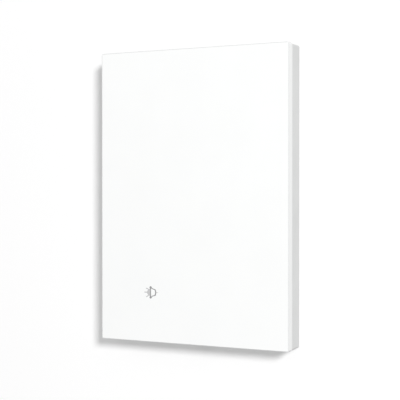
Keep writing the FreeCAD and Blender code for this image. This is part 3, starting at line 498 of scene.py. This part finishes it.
# The sign's centre is the middle of the bell's rim, this far left of the knob's tip.
SIGN_TO_KNOB_TIP = 3.5 * MM
SIGN_LINE = 0.36 * MM
SIGN_RIM_HALF = 2.55 * MM
SIGN_RIM_DOT = 0.52 * MM
SIGN_CLAPPER = 1.5 * MM
# Strokes between two points right and up of the centre, and their width, in mm: the knob and the rays.
SIGN_STROKES = (
    ((2.6, 0.0), (3.3, 0.0), 0.3),
    ((-1.15, 1.32), (-2.0, 1.6), 0.42),
    ((-1.8, 0.0), (-2.8, 0.0), 0.42),
    ((-1.15, -1.4), (-1.95, -1.85), 0.42),
)
# The bell on its side: reach from the rim, and half its height there, in mm.
BELL_PROFILE = ((0.0, 2.45), (0.5, 2.0), (1.1, 1.65), (1.9, 1.45), (2.35, 1.2), (2.6, 0.6), (2.65, 0.0))
BELL_HOLLOW_SHARE = 0.8
CURVE_STEPS = 6
ROUND_STEPS = 12
# The print is let into the plate, and each shape lies a hair's breadth behind the one before it.
PRINT_ROOT = PRINT_RELIEF * 2
LAYER = 0.002 * MM


class Print:
    """Flat printed shapes on the plate's front, given as points right and up of a centre."""

    def __init__(self, centre, front):
        self.work = bmesh.new()
        self.centre = centre
        self.front = front

    def shape(self, outline):
        """One closed shape."""
        rings = []
        for y in (self.front + PRINT_ROOT, self.front):
            rings.append([(self.centre.x + u, y, self.centre.z + v) for u, v in outline])
        bridge_rings(self.work, rings)
        self.front += LAYER

    def disc(self, at, radius, first=0.0, sweep=360.0):
        """A disc, or the part of it that the sweep covers."""
        steps = ROUND_STEPS * 2
        last = steps if sweep < 360.0 else steps - 1
        turns = [math.radians(first + sweep * k / steps) for k in range(last + 1)]
        self.shape([(at[0] + radius * math.cos(t), at[1] + radius * math.sin(t)) for t in turns])

    def bar(self, start, end, line):
        """A straight stroke with round ends."""
        heading = math.degrees(math.atan2(end[1] - start[1], end[0] - start[0]))
        outline = []
        for tip, first in ((end, heading - 90.0), (start, heading + 90.0)):
            for k in range(ROUND_STEPS + 1):
                turn = math.radians(first + 180.0 * k / ROUND_STEPS)
                outline.append((tip[0] + line / 2 * math.cos(turn), tip[1] + line / 2 * math.sin(turn)))
        self.shape(outline)


def bell_curve(share):
    """The bell's upper edge as a Catmull-Rom curve, from the rim to the crown."""
    knots = [Vector(knot) * MM * share for knot in BELL_PROFILE]
    knots = [knots[0] * 2 - knots[1]] + knots + [knots[-1] * 2 - knots[-2]]
    points = []
    for a, b, c, d in zip(knots, knots[1:], knots[2:], knots[3:]):
        for k in range(CURVE_STEPS):
            t = k / CURVE_STEPS
            bend = (c - a) * t + (a * 2 - b * 5 + c * 4 - d) * t ** 2 + (b * 3 - a - c * 3 + d) * t ** 3
            points.append(b + bend / 2)
    return points + [knots[-2]]


def print_bell(sign):
    """The bell's outline: a band between a larger and a smaller bell."""
    outer, inner = bell_curve(1.0), bell_curve(BELL_HOLLOW_SHARE)
    for side in (1, -1):
        band = [(p.x, p.y * side) for p in outer]
        band += [(p.x, p.y * side) for p in reversed(inner)]
        sign.shape(band)


def build_sign():
    """The bell sign in grey print: dark rim and bell, paler clapper, rays and knob."""
    low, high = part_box("sign_inlay")
    centre = Vector((high.x - SIGN_TO_KNOB_TIP, 0.0, (low.z + high.z) / 2))
    dark = Print(centre, low.y)
    dot = SIGN_RIM_HALF - SIGN_RIM_DOT
    dark.bar((0.0, -dot), (0.0, dot), SIGN_LINE)
    for end in (-1, 1):
        dark.disc((0.0, dot * end), SIGN_RIM_DOT)
    print_bell(dark)
    new_piece("sign_rim_and_bell", dark.work, ["sign_inlay"])

    pale = Print(centre, low.y)
    pale.disc((-SIGN_LINE / 2, 0.0), SIGN_CLAPPER, 90.0, 180.0)
    for start, end, line in SIGN_STROKES:
        pale.bar(Vector(start) * MM, Vector(end) * MM, line * MM)
    tinted = new_piece("sign_clapper_and_rays", pale.work, [], "sign_print", "case")
    tinted.data.materials[0] = PALE_INK


# ----------------------------------------------------------- screws, springs

TURN_STEPS = 36
RIGHT = Vector((1.0, 0.0, 0.0))
UP = Vector((0.0, 0.0, 1.0))
FRONTWARD = Vector((0.0, -1.0, 0.0))


def round_point(foot, along, step, radius, height):
    """The point at a step of a turn round the axis that leaves foot in the direction along."""
    turn = 2 * math.pi * step / TURN_STEPS
    out = RIGHT * math.cos(turn) + along.cross(RIGHT) * math.sin(turn)
    return foot + along * height + out * radius


def circle(foot, along, radius, height):
    return [round_point(foot, along, step, radius, height) for step in range(TURN_STEPS)]


def hexagon(foot, along, radius, height):
    """As many points as a circle has, laid along a hexagon with corners at the radius."""
    half = math.pi / 6
    ring = []
    for step in range(TURN_STEPS):
        turn = 2 * math.pi * step / TURN_STEPS
        reach = radius * math.cos(half) / math.cos(turn % (2 * half) - half)
        ring.append(round_point(foot, along, step, reach, height))
    return ring


SCREW_HEAD = 1.5 * MM
SCREW_EDGE = 0.2 * MM
SCREW_SHANK = 1.2 * MM
SOCKET_RADIUS = 0.75 * MM
SOCKET_DEPTH = 1.0 * MM
THREAD_PITCH = 0.45 * MM
THREAD_DEPTH = 0.22 * MM
RINGS_PER_PITCH = 8
THREAD_DEPTH_AT_TIP = 0.2


def thread_rings(foot, start, end):
    """Rings whose radius rises and falls along a helix, and fades towards the tip."""
    count = int((end - start) / THREAD_PITCH * RINGS_PER_PITCH)
    rings = []
    for i in range(count + 1):
        height = start + (end - start) * i / count
        fade = min(1.0, (count - i) / RINGS_PER_PITCH + THREAD_DEPTH_AT_TIP)
        ring = []
        for step in range(TURN_STEPS):
            phase = (height / THREAD_PITCH - step / TURN_STEPS) % 1.0
            reach = SCREW_SHANK - THREAD_DEPTH * abs(2.0 * phase - 1.0) * fade
            ring.append(round_point(foot, UP, step, reach, height))
        rings.append(ring)
    return rings


def build_lock_screw():
    """Socket-head screw: hexagon socket, rounded head, cut thread, pointed tip."""
    low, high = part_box("lock_screw")
    middle = (low + high) / 2
    foot = Vector((middle.x, middle.y, low.z))
    length = high.z - low.z
    head = (high.x - low.x) / 2
    rings = []
    for radius, height in (
        (SOCKET_RADIUS * 0.96, SOCKET_DEPTH),
        (SOCKET_RADIUS, SOCKET_DEPTH * 0.94),
        (SOCKET_RADIUS, SCREW_EDGE / 3),
    ):
        rings.append(hexagon(foot, UP, radius, height))
    for radius, height in (
        (SOCKET_RADIUS + SCREW_EDGE / 3, 0.0),
        (head - SCREW_EDGE, 0.0),
        (head - SCREW_EDGE * 0.3, SCREW_EDGE * 0.3),
        (head, SCREW_EDGE),
        (head, SCREW_HEAD - SCREW_EDGE / 4),
        (head - SCREW_EDGE / 4, SCREW_HEAD),
        (SCREW_SHANK + SCREW_EDGE / 2, SCREW_HEAD),
        (SCREW_SHANK, SCREW_HEAD + SCREW_EDGE / 2),
    ):
        rings.append(circle(foot, UP, radius, height))
    rings += thread_rings(foot, SCREW_HEAD + SCREW_EDGE * 2, length - SCREW_EDGE * 2)
    rings.append(circle(foot, UP, SCREW_SHANK - SCREW_EDGE * 1.6, length))
    work = bmesh.new()
    bridge_rings(work, rings)
    smooth_by_weight(new_piece("lock_screw_threaded", work, ["lock_screw"]))


# The slit's angles are in degrees; the play is the clearance over the washer's two faces together.
WASHER_PLAY = 0.02 * MM
WASHER_BORE = 1.4 * MM
WASHER_EDGE = 0.04 * MM
SLIT_WIDTH = 10.0
SLIT_SLANT = 8.0
SLIT_FACES = -60.0


def build_lock_washer():
    """Spring washer: a flat ring cut through on a slant."""
    low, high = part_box("lock_washer")
    centre = (low + high) / 2
    half_thick = (high.z - low.z - WASHER_PLAY) / 2
    outer = (high.x - low.x) / 2
    steps = TURN_STEPS * 2
    rings = []
    for k in range(steps + 1):
        along = SLIT_FACES + SLIT_WIDTH / 2 + (360.0 - SLIT_WIDTH) * k / steps
        ring = []
        for reach, side in ((WASHER_BORE, -1), (outer, -1), (outer, 1), (WASHER_BORE, 1)):
            turn = math.radians(along + side * SLIT_SLANT)
            flat = Vector((math.cos(turn), math.sin(turn), 0.0)) * reach
            ring.append(centre + flat + UP * side * half_thick)
        rings.append(ring)
    work = bmesh.new()
    bridge_rings(work, rings)
    soften(new_piece("lock_washer_split", work, ["lock_washer"]), WASHER_EDGE)


WIRE_RADIUS = 0.19 * MM
WIRE_SIDES = 8
SPRING_COILS = 3.5
SPRING_STEPS = 70
SPRING_FLAT_SHARE = 0.2


def build_tamper_spring():
    """Compression spring wound from round wire, its end coils laid flat."""
    low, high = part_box("tamper_spring")
    middle = (low + high) / 2
    reach = (high.x - low.x) / 2 - WIRE_RADIUS * 1.05
    start, end = high.y - WIRE_RADIUS, low.y + WIRE_RADIUS
    rings = []
    for i in range(SPRING_STEPS + 1):
        share = i / SPRING_STEPS
        rise = min(1.0, max(0.0, (share - SPRING_FLAT_SHARE) / (1.0 - SPRING_FLAT_SHARE * 2)))
        turn = 2 * math.pi * SPRING_COILS * share
        out = Vector((math.cos(turn), 0.0, math.sin(turn)))
        core = Vector((middle.x, start + (end - start) * rise, middle.z)) + out * reach
        ring = []
        for k in range(WIRE_SIDES):
            around = 2 * math.pi * k / WIRE_SIDES
            ring.append(core + (out * math.cos(around) - FRONTWARD * math.sin(around)) * WIRE_RADIUS)
        rings.append(ring)
    work = bmesh.new()
    bridge_rings(work, rings)
    smooth_by_weight(new_piece("tamper_spring_wound", work, ["tamper_spring"]))


# Turned shapes: (radius, height) pairs in mm from the outer end inwards.
PLUNGER_PROFILE = (
    (0.5, 0.0), (1.0, 0.12), (1.4, 0.45), (1.5, 0.8), (1.5, 3.72),
    (1.58, 3.8), (2.1, 3.8), (2.2, 3.88), (2.2, 4.22), (2.12, 4.3),
)
PIN_PROFILE = (
    (0.55, 0.0), (0.9, 0.05), (1.1, 0.25), (1.1, 1.34), (1.16, 1.4), (1.28, 1.4), (1.35, 1.47),
    (1.35, 1.83), (1.28, 1.9), (0.76, 1.9), (0.7, 1.96), (0.7, 5.45), (0.6, 5.55),
)


def turned(name, node, foot, along, profile):
    """A lathe-turned piece in place of a node, from its foot along its axis."""
    work = bmesh.new()
    bridge_rings(work, [circle(foot, along, radius * MM, height * MM) for radius, height in profile])
    smooth_by_weight(new_piece(name, work, [node]))


def build_turned_pieces():
    """The tamper plunger, which points at the wall, and the pairing pin, which points down."""
    low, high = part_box("tamper_plunger")
    middle = (low + high) / 2
    foot = Vector((middle.x, high.y, middle.z))
    turned("tamper_plunger_turned", "tamper_plunger", foot, FRONTWARD, PLUNGER_PROFILE)
    low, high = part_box("pairing_button")
    middle = (low + high) / 2
    foot = Vector((middle.x, middle.y, low.z))
    turned("pairing_button_turned", "pairing_button", foot, UP, PIN_PROFILE)


# -------------------------------------------------------------- electronics

X, Y, Z = range(3)
LEG_THICKNESS = 0.12 * MM
LEG_KNEE_SHARE = 0.45
LEG_EDGE = 0.02 * MM
LEFT_AND_RIGHT = ((X, 1), (X, -1))
ALL_ROUND = LEFT_AND_RIGHT + ((Z, 1), (Z, -1))
BELOW = ((Z, -1),)
# Each package's legs: the sides they leave, how many a side, and their width and reach in mm.
LEGS = {
    "touch_controller": (ALL_ROUND, 8, 0.28, 0.55),
    "bridge_rectifier": (LEFT_AND_RIGHT, 2, 1.2, 0.9),
    "voltage_regulator": (BELOW, 3, 0.7, 0.8),
    "chime_switch": (BELOW, 3, 0.8, 1.0),
    "tamper_switch": (LEFT_AND_RIGHT, 2, 0.6, 0.55),
    "pairing_switch": (LEFT_AND_RIGHT, 2, 0.7, 0.55),
}
# Each capped component's long axis, and the share of its length under each cap.
END_CAPS = {
    "power_inductor": (X, 0.14),
    "resettable_fuse": (X, 0.14),
    "surge_absorber": (X, 0.14),
    "power_capacitors": (X, 0.14),
    "small_passives": (Z, 0.2),
}
# The numbers of a block's corners round each of its faces.
BLOCK_FACES = ((0, 1, 3, 2), (4, 6, 7, 5), (0, 4, 5, 1), (2, 3, 7, 6), (0, 2, 6, 4), (1, 5, 7, 3))
METAL_PROUD = 0.03 * MM
METAL_EDGE = 0.05 * MM
RADIO_PADS = 12
RADIO_PAD = 0.8 * MM
RADIO_PAD_PITCH = 1.27 * MM


def add_block(work, low, high):
    """A closed block between two opposite corners."""
    corners = [(x, y, z) for x in (low[X], high[X]) for y in (low[Y], high[Y]) for z in (low[Z], high[Z])]
    verts = [work.verts.new(c) for c in corners]
    for around in BLOCK_FACES:
        work.faces.new([verts[k] for k in around])


def solids_of(node):
    """The lowest and highest corner of each separate solid in a CAD node."""
    work = welded(node)
    seen = set()
    boxes = []
    for first in work.verts:
        if first in seen:
            continue
        seen.add(first)
        queue = [first]
        found = []
        while queue:
            vert = queue.pop()
            found.append(vert.co.copy())
            for edge in vert.link_edges:
                other = edge.other_vert(vert)
                if other not in seen:
                    seen.add(other)
                    queue.append(other)
        low = Vector([min(p[k] for p in found) for k in range(3)])
        high = Vector([max(p[k] for p in found) for k in range(3)])
        boxes.append((low, high))
    work.free()
    return boxes


def add_legs(node, sides, per_side, width, reach):
    """Bent tinned legs from a package's sides down to the board."""
    low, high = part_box(node)
    board = low.y
    knee = board + (high.y - low.y) * LEG_KNEE_SHARE
    bend = reach * LEG_KNEE_SHARE
    stretches = (
        (0.0, bend, knee - LEG_THICKNESS, knee),
        (bend - LEG_THICKNESS, bend, board, knee),
        (bend - LEG_THICKNESS, reach, board, board + LEG_THICKNESS),
    )
    work = bmesh.new()
    for axis, sign in sides:
        run = Z if axis == X else X
        face = (high if sign > 0 else low)[axis]
        for k in range(per_side):
            at = low[run] + (high[run] - low[run]) * (k + 0.5) / per_side
            for near, far, foot, top in stretches:
                a, b = [0.0, foot, 0.0], [0.0, top, 0.0]
                a[axis], b[axis] = sorted((face + sign * near, face + sign * far))
                a[run], b[run] = at - width / 2, at + width / 2
                add_block(work, a, b)
    legs = new_piece(f"{node}_legs", work, [], "can_metal", BODY_OF[node])
    soften(legs, LEG_EDGE, 1)


def add_end_caps(node, axis, share):
    """Metal caps over both ends of every block in a node."""
    work = bmesh.new()
    for low, high in solids_of(node):
        cap = (high[axis] - low[axis]) * share
        for sign in (-1, 1):
            a = Vector((low.x - METAL_PROUD, low.y, low.z - METAL_PROUD))
            b = Vector((high.x + METAL_PROUD, high.y + METAL_PROUD, high.z + METAL_PROUD))
            if sign < 0:
                b[axis] = low[axis] + cap
            else:
                a[axis] = high[axis] - cap
            add_block(work, a, b)
    caps = new_piece(f"{node}_end_caps", work, [], "can_metal", BODY_OF[node])
    soften(caps, METAL_EDGE)


def add_castellations():
    """Gilded half pads along the radio module's two long edges."""
    low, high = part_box("radio_module")
    half = RADIO_PAD / 2
    work = bmesh.new()
    for x in (low.x, high.x):
        for k in range(RADIO_PADS):
            z = (low.z + high.z) / 2 + (k - (RADIO_PADS - 1) / 2) * RADIO_PAD_PITCH
            add_block(work, (x - half, low.y, z - half), (x + half, high.y + METAL_PROUD, z + half))
    pads = new_piece("radio_module_pads", work, [], "brass", "case")
    soften(pads, METAL_EDGE)


SOUNDER_CORNER = 1.0 * MM
# The case's (inset, drop) pairs round its rim, and the outlet's (radius, drop) pairs inwards, in mm.
SOUNDER_RIM = ((0.0, 0.25), (0.08, 0.07), (0.25, 0.0))
SOUNDER_OUTLET = ((3.0, 0.0), (2.9, 0.3), (1.2, 0.3), (1.1, 0.8), (0.2, 0.8))


def build_sounder():
    """Sounder: square case with round corners and a ring round its outlet."""
    low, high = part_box("sounder")
    half_x, half_z = (high.x - low.x) / 2, (high.z - low.z) / 2
    middle = (low + high) / 2
    rings = []
    levels = [(0.0, low.y)] + [(inset * MM, high.y - drop * MM) for inset, drop in SOUNDER_RIM]
    for inset, y in levels:
        outline = rounded_outline(half_x - inset, half_z - inset, SOUNDER_CORNER - inset / 2, CORNER_STEPS)
        rings.append([(middle.x + x, y, middle.z + z) for x, z in outline])
    bearings = [math.atan2(z - middle.z, x - middle.x) for x, _, z in rings[-1]]
    for radius, drop in SOUNDER_OUTLET:
        ring = []
        for turn in bearings:
            x = middle.x + radius * MM * math.cos(turn)
            z = middle.z + radius * MM * math.sin(turn)
            ring.append((x, high.y - drop * MM, z))
        rings.append(ring)
    work = bmesh.new()
    bridge_rings(work, rings)
    smooth_by_weight(new_piece("sounder_case", work, ["sounder"]))


def build_electronics():
    """The legs, caps and pads that join the packages to the board, and the sounder."""
    for node, (sides, per_side, width_mm, reach_mm) in LEGS.items():
        add_legs(node, sides, per_side, width_mm * MM, reach_mm * MM)
    for node, (axis, share) in END_CAPS.items():
        add_end_caps(node, axis, share)
    add_castellations()
    build_sounder()


# ------------------------------------------------------------- rating label

LABEL_CORNER = 1.0 * MM
LABEL_LINE = 0.14 * MM
LABEL_MARGIN = 0.7 * MM
LABEL_ROWS = (0.0, 0.33, 0.67, 1.0)
LABEL_COLUMNS = (0.0, 0.6, 1.0)


def build_label():
    """A blank rating label: film with round corners and ruled lines, no lettering."""
    low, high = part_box("rating_label")
    middle = (low + high) / 2
    outline = rounded_outline((high.x - low.x) / 2, (high.z - low.z) / 2, LABEL_CORNER, CORNER_STEPS)
    rings = []
    for y in (low.y, high.y - LAYER * 2):
        rings.append([(middle.x + x, y, middle.z + z) for x, z in outline])
    film = bmesh.new()
    bridge_rings(film, rings)
    new_piece("rating_label_film", film, ["rating_label"])

    half = LABEL_LINE / 2
    left, right = low.x + LABEL_MARGIN, high.x - LABEL_MARGIN
    foot, top = low.z + LABEL_MARGIN, high.z - LABEL_MARGIN
    rules = bmesh.new()
    for share in LABEL_ROWS:
        z = foot + (top - foot) * share
        add_block(rules, (left, middle.y, z - half), (right, high.y, z + half))
    for share in LABEL_COLUMNS:
        x = left + (right - left) * share
        add_block(rules, (x - half, middle.y, foot), (x + half, high.y - LAYER, top))
    new_piece("rating_label_rules", rules, [], "sign_print", "case")


# ------------------------------------------- CAD shapes with finer edges

# How far each node's edges are rounded, in mm.
EDGE_MM = {
    "rear_shell": 0.12,
    "wall_bracket": 0.1,
    "front_carrier": 0.15,
    "bond_tape": 0.1,
    "touch_foil": 0.03,
    "main_board": 0.06,
    "light_diffuser": 0.15,
    "sign_leds": 0.15,
    "light_shroud": 0.1,
    "touch_controller": 0.07,
    "clock_crystal": 0.15,
    "radio_module": 0.05,
    "bridge_rectifier": 0.15,
    "power_inductor": 0.45,
    "voltage_regulator": 0.12,
    "chime_switch": 0.15,
    "resettable_fuse": 0.12,
    "surge_absorber": 0.3,
    "tamper_switch": 0.1,
    "radio_shield": 0.08,
    "power_capacitors": 0.2,
    "small_passives": 0.06,
    "pairing_switch": 0.1,
    "terminal_inserts": 0.1,
    "terminal_contacts": 0.08,
    "terminal_washer_left": 0.14,
    "terminal_washer_right": 0.14,
    "terminal_screw_left": 0.14,
    "terminal_screw_right": 0.14,
    "case_screws": 0.12,
}

# ---------------------------------------------------------------- the studio

# Where the eye is, what it looks at, and the lens in mm.
CAMERA_AT = Vector((198.05, -390.81, 3.19)) * MM
CAMERA_AIM = Vector((-1.56, -1.0, -1.45)) * MM
CAMERA_LENS = 95.29
OBJECT_MIDDLE = Vector((0.0, -6.0, 0.0)) * MM
WALL_Y = 0.2 * MM
WALL_SIZE = 3.0
FLOOR_Z = -0.2
FLOOR_SIZE = 6.0
# The air's light on matt surfaces, as the camera sees it, and mirrored from straight down to straight up.
AMBIENT = 0.56
SKY_SHOWN = 0.8
SKY_MIRRORED = (0.0, 1.14)
WALL_WHITE = 0.97
FLOOR_WHITE = 0.03
FLOOR_GLOW = 0.78
PAPER_ROUGHNESS = 0.95
MOTTLE_MM = 140.0
WHITE = (1.0, 1.0, 1.0, 1.0)
LIGHT_DISTANCE = 2.4
KEY_FROM = Vector((0.86, -1.0, 0.39))
KEY_SIZE = 0.44
BACK_FROM = Vector((-0.7, 1.0, -0.25))
BACK_SIZE = 1.2


def pale_material(name, brightness, glow):
    """Matt pale paint that glows a little and can be seen through from behind."""
    paint = Paint(name, (brightness, brightness, brightness), PAPER_ROUGHNESS)
    paint.set(Specular_IOR_Level=0.0, Emission_Color=WHITE, Emission_Strength=glow)
    paint.shade(paint.noise(MOTTLE_MM, 2.0), 0.004)
    facing = paint.node("ShaderNodeNewGeometry")
    clear = paint.node("ShaderNodeBsdfTransparent")
    mix = paint.node("ShaderNodeMixShader")
    output = paint.tree.nodes["Material Output"]
    paint.link(facing.outputs["Backfacing"], mix.inputs[0])
    paint.link(paint.shader.outputs["BSDF"], mix.inputs[1])
    paint.link(clear.outputs["BSDF"], mix.inputs[2])
    paint.link(mix.outputs["Shader"], output.inputs["Surface"])
    return paint.material


def stage_plane(name, corners, material):
    """A flat sheet of the studio, which lights nothing and shades nothing."""
    work = bmesh.new()
    work.faces.new([work.verts.new(c) for c in corners])
    mesh = bpy.data.meshes.new(name)
    work.to_mesh(mesh)
    work.free()
    mesh.materials.append(material)
    plane = bpy.data.objects.new(name, mesh)
    bpy.context.scene.collection.objects.link(plane)
    plane.visible_diffuse = False
    plane.visible_glossy = False
    plane.visible_transmission = False
    plane.visible_shadow = False


def build_wall():
    """The wall behind the doorbell."""
    half = WALL_SIZE / 2
    foot, top = FLOOR_Z, half
    corners = [(-half, WALL_Y, foot), (half, WALL_Y, foot), (half, WALL_Y, top), (-half, WALL_Y, top)]
    stage_plane("studio_wall", corners, pale_material("wall_paint", WALL_WHITE, 0.0))


def build_floor():
    """The pale floor below the wall."""
    half, z = FLOOR_SIZE / 2, FLOOR_Z
    corners = [(-half, -half, z), (half, -half, z), (half, half, z), (-half, half, z)]
    stage_plane("studio_floor", corners, pale_material("floor_paint", FLOOR_WHITE, FLOOR_GLOW))


def add_softbox(name, direction, size, brightness, mirrored=True):
    """A square light that adds brightness to a white face; it may stay out of reflections."""
    data = bpy.data.lights.new(name, "AREA")
    data.shape = "SQUARE"
    data.size = size
    data.energy = brightness * math.pi ** 2 * LIGHT_DISTANCE ** 2
    light = bpy.data.objects.new(name, data)
    toward = direction.normalized()
    light.location = OBJECT_MIDDLE + toward * LIGHT_DISTANCE
    light.rotation_euler = toward.to_track_quat("Z", "Y").to_euler()
    light.visible_glossy = mirrored
    bpy.context.scene.collection.objects.link(light)


def build_lights():
    """A key light from the upper right, and one from behind of which metals mirror only a part."""
    add_softbox("key_light", KEY_FROM, KEY_SIZE, 0.695, mirrored=False)
    add_softbox("back_key", BACK_FROM, BACK_SIZE, 0.28, mirrored=False)
    add_softbox("back_glint", BACK_FROM, BACK_SIZE, 0.12)


def build_world():
    """Even light from all round, shown paler than it shines and mirrored brighter from above."""
    world = bpy.data.worlds.new("studio_air")
    world.use_nodes = True
    tree = world.node_tree
    shine = tree.nodes["Background"]
    shown = tree.nodes.new("ShaderNodeBackground")
    mirrored = tree.nodes.new("ShaderNodeBackground")
    for air, strength in ((shine, AMBIENT), (shown, SKY_SHOWN), (mirrored, 1.0)):
        air.inputs["Color"].default_value = WHITE
        air.inputs["Strength"].default_value = strength

    where = tree.nodes.new("ShaderNodeTexCoord")
    split = tree.nodes.new("ShaderNodeSeparateXYZ")
    height = tree.nodes.new("ShaderNodeMapRange")
    height.inputs["From Min"].default_value = -1.0
    height.inputs["To Min"].default_value = SKY_MIRRORED[0]
    height.inputs["To Max"].default_value = SKY_MIRRORED[1]
    tree.links.new(where.outputs["Generated"], split.inputs["Vector"])
    tree.links.new(split.outputs["Z"], height.inputs["Value"])
    tree.links.new(height.outputs["Result"], mirrored.inputs["Strength"])

    path = tree.nodes.new("ShaderNodeLightPath")
    last = shine
    for other, ray in ((mirrored, "Is Glossy Ray"), (shown, "Is Camera Ray")):
        mix = tree.nodes.new("ShaderNodeMixShader")
        tree.links.new(path.outputs[ray], mix.inputs[0])
        tree.links.new(last.outputs[0], mix.inputs[1])
        tree.links.new(other.outputs[0], mix.inputs[2])
        last = mix
    tree.links.new(last.outputs[0], tree.nodes["World Output"].inputs["Surface"])
    bpy.context.scene.world = world


def build_camera():
    data = bpy.data.cameras.new("photo_camera")
    data.lens = CAMERA_LENS
    data.clip_start = 0.01
    camera = bpy.data.objects.new("photo_camera", data)
    camera.location = CAMERA_AT
    camera.rotation_euler = (CAMERA_AIM - CAMERA_AT).to_track_quat("-Z", "Y").to_euler()
    bpy.context.scene.collection.objects.link(camera)
    bpy.context.scene.camera = camera


# ----------------------------------------------------------------- building

paint_nodes()
build_plate()
build_sign()
for refined_node, edge_mm in EDGE_MM.items():
    refine(refined_node, edge_mm * MM)
build_lock_screw()
build_lock_washer()
build_tamper_spring()
build_turned_pieces()
build_electronics()
build_label()

build_wall()
build_floor()
build_world()
build_lights()
build_camera()
bpy.context.scene.view_settings.view_transform = "Standard"
